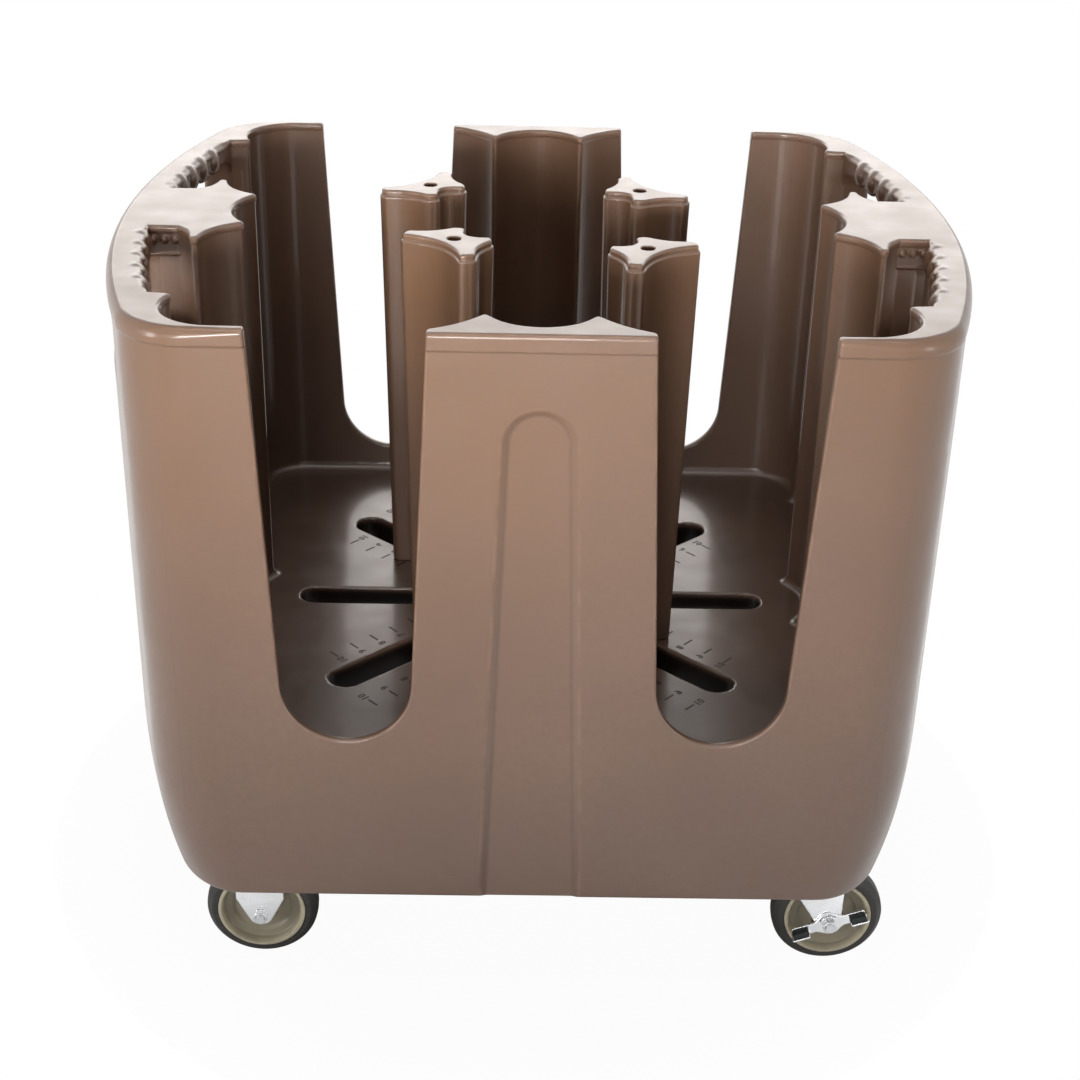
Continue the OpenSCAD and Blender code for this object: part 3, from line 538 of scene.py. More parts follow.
def moulded(colour, rough, edge_wear_and_highlight):
    """Satin polyethylene of one colour. Patches, golden and milky clouds, mottle, outer edges
    painted paler, partly as wear and partly as painted highlight, painted shade deep inside and in
    the slots and recess, and painted shade along hollow edges."""
    def build(tree):
        edge = node(tree, "Attribute", attribute_name="edge").outputs["Fac"]
        patches = spread(tree, noise(tree, 5, 3), 0, 1)
        base = blended(tree, patches, shade(colour, 0.86), shade(colour, 1.1))
        base = blended(tree, upper_share(tree), base, shade(tinted(colour, GOLDEN), 0.96))
        bloom = spread(tree, noise(tree, 3, 2, (1, 1, 0.6)), 0, 0.5, 0.45, 0.7)
        base = blended(tree, bloom, base, shade(tinted(colour, MILKY), 1.08))
        mottle = spread(tree, noise(tree, 130, 3), 0, 0.5)
        base = blended(tree, mottle, base, shade(colour, 0.9))
        # Outer edges painted paler: partly wear, partly painted highlight on the rounded edges.
        scuff_and_highlight_patches = spread(tree, noise(tree, 38, 4), 0, 1, 0.4, 0.62)
        wear_and_highlight = times(tree, spread(tree, edge, 0, edge_wear_and_highlight, 0.35, 1), scuff_and_highlight_patches)
        base = blended(tree, wear_and_highlight, base, shade(colour, WEAR_AND_HIGHLIGHT_TONE))
        # Painted shade deep inside the dish space.
        deep = times(tree, painted_deep_shade_share(tree), PAINTED_DEEP_SHARE)
        base = blended(tree, deep, base, shade(colour, PAINTED_DEEP_SHADE))
        # Painted shade in the slots and the recess under the dish floor.
        base = blended(tree, painted_slot_shade_share(tree), base, shade(colour, PAINTED_SLOT_SHADE))
        # Painted shade along hollow edges and creases.
        hollow = spread(tree, edge, 0.35, 0, -0.9, -0.2)
        base = blended(tree, hollow, base, shade(colour, PAINTED_CREASE_SHADE))
        skin = relief(tree, noise(tree, 7, 1, (1, 1, 0.45)), 0.004)
        skin = relief(tree, noise(tree, 22, 1), 0.0009, skin)
        skin = relief(tree, noise(tree, 620, 2), 0.00007, skin)
        return {"Base Color": base, "Normal": skin,
                "Roughness": spread(tree, noise(tree, 26, 3), rough - 0.05, rough + 0.06)}
    return build


body_plastic = finish("brown_moulding", moulded(BROWN, 0.36, 0.3), IOR=1.5, Coat_Weight=0.5,
                      Coat_Roughness=0.14)
post_plastic = finish("brown_posts", moulded(shade(BROWN, 1.06)[:3], 0.34, 0.35), IOR=1.5,
                      Coat_Weight=0.5, Coat_Roughness=0.13)
# The marks are coloured near black: painted shade in place of the shadow in moulded lines.
painted_shade_mark_plastic = finish("brown_marks_painted_shade", moulded(shade(BROWN, 0.12)[:3], 0.5, 0.0), IOR=1.5)


# %% Metals, rubber and the other plastics
def plated(colour, rough, marks=(1, 1, 1)):
    """Plated steel: a bright metal with rolling marks, faint stains and uneven gloss."""
    def build(tree):
        stains = spread(tree, noise(tree, 55, 4), 0, 1)
        grain = noise(tree, 260, 3, marks)
        return {"Base Color": blended(tree, stains, shade(colour, 0.9), shade(colour, 1.04)),
                "Roughness": spread(tree, grain, rough * 0.8, rough * 1.3),
                "Normal": relief(tree, grain, 0.00003)}
    return build


def dull(colour, rough, grain_scale, depth):
    """Rubber or textured plastic: dull, with paler dusty patches and a fine grain."""
    def build(tree):
        dust = spread(tree, noise(tree, 70, 4), 0, 0.5, 0.5, 0.75)
        return {"Base Color": blended(tree, dust, shade(colour, 1.0), shade(colour, 1.6)),
                "Roughness": spread(tree, noise(tree, 40, 2), rough - 0.06, rough + 0.08),
                "Normal": relief(tree, noise(tree, grain_scale, 2), depth)}
    return build


bright_zinc = finish("bright_zinc", plated((0.93, 0.94, 0.95), 0.24, (1, 1, 0.1)), Metallic=1.0)
fastener_zinc = finish("fastener_zinc", plated((0.72, 0.73, 0.74), 0.24), Metallic=1.0)
plate_steel = finish("plate_steel", plated((0.66, 0.67, 0.69), 0.32, (0.1, 1, 1)), Metallic=1.0)
ground_steel = finish("ground_steel", plated((0.62, 0.62, 0.63), 0.16, (1, 0.1, 1)), Metallic=1.0)
polished_steel = finish("polished_steel", plated((0.75, 0.76, 0.78), 0.08), Metallic=1.0)
turned_brass = finish("turned_brass", plated((0.78, 0.60, 0.30), 0.26), Metallic=1.0)
friction_grey = finish("friction_grey", plated((0.20, 0.18, 0.16), 0.6), Metallic=0.6)
tyre_rubber = finish("tyre_rubber", dull((0.052, 0.049, 0.046), 0.55, 420, 0.00012))
pad_rubber = finish("pad_rubber", dull((0.018, 0.024, 0.022), 0.6, 500, 0.0001))
knob_plastic = finish("knob_plastic", dull((0.02, 0.02, 0.021), 0.45, 700, 0.00008))

KHAKI, CREAM, DIRT = (0.47, 0.42, 0.31, 1), (0.90, 0.81, 0.60, 1), (0.38, 0.33, 0.24, 1)


def two_tone(tree):
    """Khaki plastic with a cream lip, told apart by the turned outline's own lip value."""
    lip = node(tree, "Attribute", attribute_name="lip").outputs["Fac"]
    base = blended(tree, lip, KHAKI, CREAM)
    base = blended(tree, spread(tree, noise(tree, 60, 4), 0, 0.4, 0.45, 0.75), base, DIRT)
    return {"Base Color": base, "Roughness": spread(tree, noise(tree, 40, 2), 0.3, 0.42)}


hub_plastic = finish("hub_plastic", two_tone)

# %% Finishes of the solids that are kept
KEPT_NODES = {
    "caster_inserts": turned_brass, "caster_bolts": fastener_zinc, "caster_washers": fastener_zinc,
    "tie_bolt": fastener_zinc, "clamp_plate": plate_steel, "clamp_knob": knob_plastic,
    "swivel_plate": bright_zinc, "king_bolt": fastener_zinc, "swivel_balls": polished_steel,
    "axle_bolt": fastener_zinc, "axle_sleeve": ground_steel, "brake_disc": friction_grey,
}
for name, solid in nodes.items():
    for start, material in KEPT_NODES.items():
        if name.startswith(start):
            solid.data.materials.clear()
            solid.data.materials.append(material)
print("kept kinds", len(KEPT_NODES))

# %% [markdown]
# ## The body
# Its sizes are those of the solid: a bowed rectangle in plan, 795 mm high, whose end walls draw
# in towards the bottom. Out of it come the dish space, two tall openings in each long wall, four
# hand holes, an arched panel in each pillar face, six slots, the recess below them and the space
# inside the low skirt.

# %% The body's sizes, in millimetres
TOP, DECK, SKIRT, DISH_FLOOR, RECESS_TOP = 795, 158, 143, 308, 263
HALF_LENGTH, HALF_DEPTH, END_R, CORNER_R = 458, 380, 1045, 75
BELLY_H, END_DRAW, LONG_DRAW = 160, 26, 1.5
BAND_H, BAND_OUT, BAND_R, BAND_FILLET = 18, 3, 1.2, 1.5
RIM_R, RIM_R_MORE, FOOT_R, FOOT_R_MORE = 4.5, 8, 5, 11
LIP_OUT, LIP_LOW, LIP_HIGH, DISH_R = 1.2, 9, 6.5, 11
BAR_W, BAR_H, HAND_H, HAND_R, PIER_HALF, HAND_END, BAR_SPARED = 35, 26, 66, 18, 72, 281, 8
OPENING_X, OPENING_R, OPENING_HALF, SILL = 192.5, 67, 84.5, 36
PANEL_R, PANEL_HALF, PANEL_TOP, PANEL_D, PANEL_DRAFT = 37, 55, 77, 5.5, 1.3
SLOT_R, SLOT_START, SLOT_ANGLE, SLOT_END, SIDE_SLOT_END = 19, 78, np.radians(42.7), 305, 282
RECESS_X, RECESS_Y, RECESS_R, RECESS_ROOF_R = 296, 236, 40, 14
SKIRT_END, SKIRT_SIDE = 46, 20
TIP_R = 4
END_MIDDLE = HALF_LENGTH - END_R


def bar_line(y, extra=0):
    """Distance of a handle bar's inner side from the middle of the body."""
    return END_MIDDLE + np.sqrt((END_R - BAR_W + extra) ** 2 - np.square(y))


# %% The dish space in plan
SCALLOP_SAG, PEAK_SAG = 8.6, 4.6
PIER_SAGS = (4.5, 8.5, 4.9)


def dish_outline(r=TIP_R):
    """A quarter of the dish space, with every wall moved back by r so that a distance of r
    rounds all tips: pillar scallop and peak, wall, dish corner, hand-hole pocket, pier."""
    pocket_y = np.linspace(HAND_END + r, PIER_HALF - r, 16)
    pocket = np.stack([bar_line(pocket_y, r), pocket_y], 1)
    scallop, peak, wall = (0, 360 + r), (54, 328 + r), (OPENING_X - OPENING_HALF, 371 + r)
    root, far_tip, near_tip, middle = (387, PIER_HALF - r), (366, 105), (322 + r, 52), (341 + r, 0)
    return np.concatenate([
        [scallop], bow(scallop, peak, SCALLOP_SAG), bow(peak, wall, PEAK_SAG),
        arc((309, 314), 57 + r, 90, -25),
        pocket, [root], bow(root, far_tip, PIER_SAGS[0]),
        bow(far_tip, near_tip, PIER_SAGS[1]), bow(near_tip, middle, PIER_SAGS[2]),
        [(0, 0)],
    ])


DISH_OUTLINE = dish_outline()


# %% The outside
def plan_distance(x, y, half_length, half_depth):
    """Distance to the bowed rectangle: long sides, end arcs, and the arcs that join them."""
    ax, ay = np.abs(x), np.abs(y)
    middle = half_length - END_R
    corner_y = half_depth - CORNER_R
    corner_x = middle + np.sqrt((END_R - CORNER_R) ** 2 - corner_y ** 2)
    beyond = (corner_x - middle) * (ay - corner_y) > corner_y * (ax - corner_x)
    walls = np.maximum(ay - half_depth, np.hypot(ax - middle, ay) - END_R)
    rounding = np.hypot(ax - corner_x, ay - corner_y) - CORNER_R
    return np.where((ax > corner_x) & beyond, rounding, walls)


def outside(x, y, z):
    """The whole block: end walls that curve in below, a band round the rim, and a top edge that
    is rounded widely over the end walls and tightly over the long ones."""
    low = np.clip((SKIRT + BELLY_H - z) / BELLY_H, 0, 1)
    side = plan_distance(x, y, HALF_LENGTH - END_DRAW * low ** 2, HALF_DEPTH - LONG_DRAW * low ** 6)
    at_end = ease(np.abs(x), 320, 410)
    band = cut_round(side - BAND_OUT * (1 - 0.5 * at_end), TOP - BAND_H - z, BAND_R)
    side = join_round(side, band, BAND_FILLET)
    block = cut_round(side, z - TOP, RIM_R + RIM_R_MORE * ease(np.abs(x), 250, 380))
    return cut_round(block, SKIRT - z, FOOT_R + FOOT_R_MORE * at_end)


# %% What is cut out
def dish_space(x, y, z):
    """The dish space down to its floor. Its walls stand out 1.2 mm in the top 8 mm."""
    walls = outline_distance(np.abs(x), np.abs(y), DISH_OUTLINE, open_sides=2) + TIP_R
    lip = LIP_OUT * ease(z, TOP - LIP_LOW, TOP - LIP_HIGH)
    return cut_round(walls + lip, DISH_FLOOR - z, DISH_R)


def hand_holes(x, y, z):
    """Rounded windows through the end walls under the handle bars, cut only outside the bars."""
    ay = np.abs(y)
    dy = np.abs(ay - (PIER_HALF + HAND_END) / 2) - (HAND_END - PIER_HALF) / 2 + HAND_R
    dz = np.abs(z - (TOP - BAR_H - HAND_H / 2)) - HAND_H / 2 + HAND_R
    outwards = END_R - BAR_W - BAR_SPARED - np.hypot(np.abs(x) - END_MIDDLE, ay)
    return np.maximum(grown(dy, dz, HAND_R), outwards)


def panels(x, y, z):
    """The arched panel in both pillar faces, with sloping sides."""
    deep = HALF_DEPTH - np.abs(y)
    arch_z = TOP - PANEL_TOP - PANEL_R
    arch = tall_arch(x, arch_z - z, PANEL_R, PANEL_HALF, arch_z - SKIRT)
    return cut_round((arch + PANEL_DRAFT * deep) / np.hypot(1, PANEL_DRAFT), deep - PANEL_D, 1)


def slots(x, y):
    """Distance to the nearest of the six floor slots, each a line with round ends."""
    best = 1e9
    for angle, end in ((0, SIDE_SLOT_END), (SLOT_ANGLE, SLOT_END)):
        along = np.abs(x) * np.cos(angle) + np.abs(y) * np.sin(angle)
        across = -np.abs(x) * np.sin(angle) + np.abs(y) * np.cos(angle)
        beyond = along - np.clip(along, SLOT_START, end - SLOT_R)
        best = np.minimum(best, np.hypot(beyond, across) - SLOT_R)
    return best


def recess(x, y, z):
    """The rounded recess in the underside."""
    dx, dy = np.abs(x) - RECESS_X + RECESS_R, np.abs(y) - RECESS_Y + RECESS_R
    return cut_round(grown(dx, dy, RECESS_R), z - RECESS_TOP, RECESS_ROOF_R)


def deck_space(x, y, z):
    """The space inside the skirt, up to the deck that carries the casters."""
    plan = plan_distance(x, y, HALF_LENGTH - SKIRT_END, HALF_DEPTH - SKIRT_SIDE)
    return cut_round(plan, z - DECK, 3)


# %% The finger bumps of the handle bars
BUMP_Y = PIER_HALF + 19 + 36 * np.arange(5)
BUMP_OUT, BUMP_HALF_X, BUMP_HALF_Y, BUMP_HALF_Z, BUMP_DOWN = 6, 12, 15, 15.5, 16
STUD_X, STUD_R, STUD_DOWN = np.array([392, 404, 416]), 4.5, 15
LEDGE_X, LEDGE_HALF, LEDGE_R, LEDGE_DOWN = 406, 18, 2.2, 31


def bumps(x, y, z):
    """Rounded swellings over the inner edge of each bar, small studs on the pier beside it, and
    the ledge below them. The nearest one in plan is found first, then its height is added."""
    ax, ay = np.abs(x), np.abs(y)
    plan = 1e9
    for at in BUMP_Y:
        across = (ax - bar_line(at) - BUMP_OUT) / BUMP_HALF_X
        plan = np.minimum(plan, np.hypot(across, (ay - at) / BUMP_HALF_Y))
    grip = (np.hypot(plan, (z - TOP + BUMP_DOWN) / BUMP_HALF_Z) - 1) * BUMP_HALF_X
    plan = 1e9
    for at in STUD_X:
        plan = np.minimum(plan, np.hypot(ax - at, ay - PIER_HALF))
    stud = np.hypot(plan, z - TOP + STUD_DOWN) - STUD_R
    ledge = np.maximum(np.hypot(ay - PIER_HALF, z - TOP + LEDGE_DOWN) - LEDGE_R,
                       np.abs(ax - LEDGE_X) - LEDGE_HALF)
    return grip, np.minimum(stud, ledge)


# %% The body as one field
ROUND = {"dish": 3.5, "bar": 5, "opening": 3, "hand_hole": 5, "panel": 1.5, "slot": 3, "deck": 2.5,
         "recess": 6, "bump": 2.5, "stud": 1}
BUMPS_FROM = 360


def body_field(x, y, z):
    """The block, less all that is cut out, plus the bumps. Each cut has its own edge radius, and
    the dish space's edge is rounder along the handle bars."""
    ax, ay = np.abs(x), np.abs(y)
    at_bar = ease(ax, 372, 382) * ease(ay, 78, 92) * (1 - ease(ay, 262, 276))
    solid = cut_round(outside(x, y, z), -dish_space(x, y, z), ROUND["dish"] + ROUND["bar"] * at_bar)
    arch = tall_arch(ax - OPENING_X, z - (DISH_FLOOR + SILL + OPENING_R), OPENING_R,
                     OPENING_HALF, TOP - DISH_FLOOR - SILL - OPENING_R)
    solid = cut_round(solid, -arch, ROUND["opening"])
    solid = cut_round(solid, -hand_holes(x, y, z), ROUND["hand_hole"])
    solid = cut_round(solid, -panels(x, y, z), ROUND["panel"])
    solid = cut_round(solid, -slots(x, y), ROUND["slot"])
    solid = cut_round(solid, -deck_space(x, y, z), ROUND["deck"])
    solid = cut_round(solid, -recess(x, y, z), ROUND["recess"])
    if np.max(ax) > BUMPS_FROM:
        grip, small = bumps(x, y, z)
        solid = join_round(join_round(solid, grip, ROUND["bump"]), small, ROUND["stud"])
    return solid


# %% The body's grid and mesh
COARSE = 1
GRID_X = both_sides(steps((0, 58, 2), (58, 104, 3), (104, 128, 1.6), (128, 256, 3.4),
                          (256, 280, 1.6), (280, 330, 3), (330, 466, 2.2), coarse=COARSE))
GRID_Y = both_sides(steps((0, 60, 3), (60, 116, 2.2), (116, 270, 3.4), (270, 330, 2.8),
                          (330, 366, 2.4), (366, 387, 1.5), coarse=COARSE))
GRID_Z = steps((138, 166, 2), (166, 182, 4), (182, 256, 6), (256, 268, 2.4), (268, 300, 6),
               (300, 322, 2), (322, 342, 4), (342, 414, 2), (414, 672, 12), (672, 700, 2.4),
               (700, 799, 1.7), coarse=COARSE)
body_skin = field_skin(body_field, GRID_X, GRID_Y, GRID_Z, 185000)
skin_piece("body_moulding", body_skin, "dolly", ["body"], body_plastic)

# %% [markdown]
# ## The divider posts
# Each post is one hollow moulding with four arms round a bolt hole: two long ones spread towards
# the corner of the body and two short ones point back. Its sides are hollow, so that plates touch
# it along two lines only. The mould needs draft, so a post is a little slimmer at the foot. A
# stepped cap closes the top, and a block under the foot guides the post in its slot.

# %% The plan of a post
POST_AT = {"fl": 125, "fr": 156, "rl": 172, "rr": 160}
FOOT, CAP_STEP, POST_TOP, BOLT_SEAT = 308.3, 784, 791, 747
POST_R, POST_DRAFT, CAP_IN = 5, 0.15, 2.2
ARMS = ((59, -64), (59, 64), (41, 136), (41, 224))
ARM_TIP_HALF, ARM_TIP_SAG, HOLLOWS = 10.5, -1.5, (15, 6, 15, 6)
GUIDE_U, GUIDE_V, GUIDE_MIDDLE, GUIDE_H = 23, 18.5, 288, 23
BOLT_HOLE_R, HEAD_HOLE_R = 4.5, 7.5


def from_slot(u, v, sx, sy):
    """X and Y of the place u along a slot and v across it, in the corner on sides sx and sy."""
    return (sx * (u * np.cos(SLOT_ANGLE) - v * np.sin(SLOT_ANGLE)),
            sy * (u * np.sin(SLOT_ANGLE) + v * np.cos(SLOT_ANGLE)))


def star(r):
    """The four-armed plan, drawn in by r all round: blunt arm tips, joined by hollow lines. The
    middle of each hollow line is moved in by the same r as the tips."""
    def tip(length, turn, inset):
        t = np.radians(turn)
        end = (length - inset) * np.array([np.cos(t), np.sin(t)])
        side = (ARM_TIP_HALF - inset) * np.array([-np.sin(t), np.cos(t)])
        return end - side, end + side

    points = []
    for k, sag in enumerate(HOLLOWS):
        start, end = tip(*ARMS[k], r)
        after = tip(*ARMS[(k + 1) % 4], r)[0]
        full_end, full_after = tip(*ARMS[k], 0)[1], tip(*ARMS[(k + 1) % 4], 0)[0]
        ahead = (full_after - full_end) / np.hypot(*(full_after - full_end))
        moved = (full_end + full_after - end - after) @ np.array([ahead[1], -ahead[0]]) / 2
        hollow = bow(end, after, sag + r - moved)[:-1]
        points += [start[None], bow(start, end, ARM_TIP_SAG, 6), hollow]
    return np.concatenate(points)


STAR = star(POST_R)


# %% The post as a field
def post_field(x, y, z):
    """The plan drawn up with its draft, the stepped cap, the guide block and the bolt hole."""
    u = x * np.cos(SLOT_ANGLE) + y * np.sin(SLOT_ANGLE)
    v = y * np.cos(SLOT_ANGLE) - x * np.sin(SLOT_ANGLE)
    size = 1 - POST_DRAFT * np.clip((CAP_STEP - z) / (CAP_STEP - FOOT), 0, 1)
    plan = (outline_distance(u / size, v / size, STAR) - POST_R) * size
    shaft = cut_round(plan, z - CAP_STEP, 2)
    cap = cut_round(plan + CAP_IN, z - POST_TOP, 3)
    post = cut_round(join_round(shaft, cap, 1), FOOT - z, 2)
    guide = cut_round(np.abs(u) - GUIDE_U, np.abs(v) - GUIDE_V, 3)
    guide = cut_round(guide, np.abs(z - GUIDE_MIDDLE) - GUIDE_H, 1)
    from_bolt = np.hypot(u, v)
    hole = np.minimum(from_bolt - BOLT_HOLE_R, np.maximum(from_bolt - HEAD_HOLE_R, BOLT_SEAT - z))
    return cut_round(np.minimum(post, guide), -hole, 1.2)


# %% The four posts
POST_GRID = steps((-64, 64, 1.6), coarse=COARSE)
POST_Z = steps((262, 270, 1.6), (270, 302, 8), (302, 314, 1.5), (314, 738, 16), (738, 752, 2),
               (752, 776, 6), (776, 794, 1))
post_skin = field_skin(post_field, POST_GRID, POST_GRID, POST_Z, 16000)
for corner, (sx, sy) in CORNERS.items():
    at = (*from_slot(POST_AT[corner], 0, sx, sy), 0)
    skin_piece("post_moulding_" + corner, post_skin, "divider_post_" + corner,
               ["divider_" + corner], post_plastic, (sx, sy), at)

# %% [markdown]
# ## The wheels
# Tyre and hub are turned shapes, so one half outline makes each of them. All corners of an outline
# are rounded with arcs, and the arcs give exact directions for smooth shading. The hub is a khaki
# moulding with a dished web between boss and rim. Its cream lip is left bare beside the tyre.

# %% Turned shapes
NO_LIP = 99


def rounded(points, radii, n=5):
    """An outline with its corners rounded, and the outward direction at each point. It runs with
    the solid on its left."""
    points = np.array(points, float)
    ahead = np.roll(points, -1, 0) - points
    ahead /= np.linalg.norm(ahead, axis=1, keepdims=True)
    edges, facing = [], []
    for corner, before, after, r in zip(points, np.roll(ahead, 1, 0), ahead, radii):
        turn = np.arctan2(before[0] * after[1] - before[1] * after[0], before @ after)
        bend, out = np.sign(turn) * r, np.array([before[1], -before[0]])
        middle = corner - before * abs(r * np.tan(turn / 2)) - bend * out
        t = np.linspace(0, turn, n)[:, None]
        normal = np.cos(t) * out + np.sin(t) * np.array([-out[1], out[0]])
        edges.append(middle + bend * normal)
        facing.append(normal)
    return np.concatenate(edges), np.concatenate(facing)


def turned_piece(name, outline, radii, at, outward, body, replaced, material, lip_r=NO_LIP):
    """A closed outline of (radius, outward place) turned round an axle along Y. What is further
    out than lip_r is its lip."""
    order = slice(None) if outward > 0 else slice(None, None, -1)
    edges, facing = rounded((np.array(outline) * (1, outward))[order], radii[order])
    n = 128
    t = np.linspace(0, 2 * np.pi, n, endpoint=False)[:, None]
    ring = [np.stack([np.sin(t) * p[:, 0], 0 * t + p[:, 1], np.cos(t) * p[:, 0]], 2).reshape(-1, 3)
            for p in (edges, facing)]
    row, step = np.meshgrid(np.arange(n), np.arange(len(edges)), indexing="ij")
    on, up = (row + 1) % n, (step + 1) % len(edges)
    faces = np.stack([row * len(edges) + step, on * len(edges) + step,
                      on * len(edges) + up, row * len(edges) + up], 2).reshape(-1, 4)
    mesh = new_mesh(name, (ring[0] + at) * MM, faces)
    mesh.normals_split_custom_set_from_vertices(ring[1].tolist())
    lip = np.tile(edges[:, 0] > lip_r, n).astype(np.float32)
    mesh.attributes.new("lip", "FLOAT", "POINT").data.foreach_set("value", lip)
    new_piece(name, mesh, body, replaced, material)


# %% Tyres and hubs
WHEEL_R, CASTER_X, CASTER_Y, TRAIL = 63.5, 303, 288, 41
TYRE = [(49.5, -16), (56.5, -16), (62.9, -8.5), (63.5, 0), (62.9, 8.5), (56.5, 16), (49.5, 16)]
TYRE_RADII = [1.2, 4, 5, 20, 5, 4, 1.2]
BORE_R, BORE_EDGE, BOSS_R, LIP_R = 8.05, 0.6, 17, 45
HUB_SIDE = [(BOSS_R, 0), (19.5, 6), (31, 6), (34.5, 8.5), (42, 9.5), (46, 17.5), (49.5, 17.5)]
HUB_RADII = [1.2, 1.5, 3, 3, 3, 1, 0.8]
BOSS_END, BRAKED_BOSS_END = 21.4, 16.7


def axle(sx, sy, out=0):
    """The middle of a wheel, or a place further out along its axle. Swivel wheels trail."""
    return sx * CASTER_X + TRAIL * (sx > 0), sy * (CASTER_Y + out), WHEEL_R


def hub_outline(back, face):
    """A hub's closed outline, from the bore's inner end round the rim to its outer end."""
    inner = [(BOSS_R, -back)] + [(r, -y) for r, y in HUB_SIDE[1:]]
    outer = HUB_SIDE[:0:-1] + [(BOSS_R, face)]
    return [(BORE_R, -back)] + inner + outer + [(BORE_R, face)]


for corner, (sx, sy) in CORNERS.items():
    turned_piece("tyre_moulding_" + corner, TYRE, TYRE_RADII, axle(sx, sy), sy, "wheel_" + corner,
                 ["tyre_" + corner], tyre_rubber)
    outline = hub_outline(BOSS_END, BRAKED_BOSS_END if sx > 0 else BOSS_END)
    radii = [BORE_EDGE] + HUB_RADII + HUB_RADII[::-1] + [BORE_EDGE]
    turned_piece("hub_moulding_" + corner, outline, radii, axle(sx, sy), sy, "wheel_" + corner,
                 ["hub_" + corner], hub_plastic, LIP_R)
print("wheels", len(CORNERS))

# %% [markdown]
# ## Brackets, brakes and nuts
# A bracket is pressed from one steel sheet and zinc plated, so its legs run into its top through
# round bends. The swivel forks lean back to the axle. A rocker with a rubber foot pad at each end
# works the brake: pressing one end stops the wheel, pressing the other frees it.

# %% Brackets as fields
LEG_MID, LEG_HALF_T, SHEET_EDGE, BEND_R, HOLE_EDGE = 23.75, 1.75, 0.9, 4, 0.4
AXLE_HOLE_R, KING_HOLE_R, KING_HOLE_FROM = 5, 6.05, 120
PLATE_X, PLATE_Y, PLATE_R, PLATE_Z, PLATE_HALF_T = 43.5, 33.5, 6.5, 156, 2
BOLT_X, BOLT_Y, BOLT_R = 39, 29, 4.05
CROWN_R, CROWN_Z, CROWN_HALF_T = 32, 144.5, 2.5
STRIP_X, STRIP_HALF, STRIP_Y = 13.5, 42, 25.5
RACE_R, RACE_HALF_T, RACE_Z, RACE_HALF_H = 30.25, 1.75, 149.2, 3.3
RIGID_LEG = np.concatenate([[(27, 156), (-27, 156), (-27, 85.5)],
                            arc((0, WHEEL_R), 14, 205, 335, 24), [(27, 85.5)]])
FORK_LEG = np.concatenate([[(55.5, 144.5), (-28.5, 144.5), (-28.5, 136), (-2, 106.5)],
                           arc((TRAIL, WHEEL_R), 14, 205, 360, 28)])


def legs(x, y, z, outline):
    """Two upright legs of sheet steel with a given outline."""
    thick = np.abs(np.abs(y) - LEG_MID) - LEG_HALF_T
    return cut_round(outline_distance(x, z, outline), thick, SHEET_EDGE)


def rigid_field(x, y, z):
    """The bolted plate, two legs with bends, the bolt holes and the axle hole."""
    plate = grown(np.abs(x) - PLATE_X, np.abs(y) - PLATE_Y, PLATE_R)
    plate = cut_round(plate, np.abs(z - PLATE_Z) - PLATE_HALF_T, SHEET_EDGE)
    sheet = join_round(plate, legs(x, y, z, RIGID_LEG), BEND_R)
    bolts = np.hypot(np.abs(x) - BOLT_X, np.abs(y) - BOLT_Y) - BOLT_R
    holes = np.minimum(bolts, np.hypot(x, z - WHEEL_R) - AXLE_HOLE_R)
    return cut_round(sheet, -holes, HOLE_EDGE)


def fork_field(x, y, z):
    """The crown with its race ring, two leaning legs, the king bolt hole and the axle hole."""
    from_king = np.hypot(x, y)
    strip = cut_round(np.abs(x - STRIP_X) - STRIP_HALF, np.abs(y) - STRIP_Y, 4)
    crown = np.minimum(from_king - CROWN_R, strip)
    crown = cut_round(crown, np.abs(z - CROWN_Z) - CROWN_HALF_T, 1)
    race = cut_round(np.abs(from_king - RACE_R) - RACE_HALF_T, np.abs(z - RACE_Z) - RACE_HALF_H, 0.6)
    fork = np.minimum(join_round(crown, legs(x, y, z, FORK_LEG), BEND_R), race)
    king = np.maximum(from_king - KING_HOLE_R, KING_HOLE_FROM - z)
    holes = np.minimum(king, np.hypot(x - TRAIL, z - WHEEL_R) - AXLE_HOLE_R)
    return cut_round(fork, -holes, HOLE_EDGE)


# %% The brackets
FINE = 1
SHEET_Y = both_sides(steps((0, 20, 4), (20, 28, 0.9 * FINE), (28, 42, 1.6)))
rigid_skin = field_skin(rigid_field, steps((-52, 52, 1.6), coarse=FINE), SHEET_Y,
                        steps((47, 146, 1.6 * FINE), (146, 160, 1)), 9000)
fork_skin = field_skin(fork_field, steps((-34, 58, 1.4), coarse=FINE), SHEET_Y,
                       steps((47, 138, 1.6 * FINE), (138, 155, 1)), 9000)
for end, sy in ENDS.items():
    skin_piece("bracket_pressing_" + end, rigid_skin, "dolly", ["rigid_bracket_" + end],
               bright_zinc, (1, 1), (-CASTER_X, sy * CASTER_Y, 0))
    skin_piece("fork_pressing_" + end, fork_skin, "swivel_" + end, ["swivel_fork_" + end],
               bright_zinc, (1, 1), (CASTER_X, sy * CASTER_Y, 0))

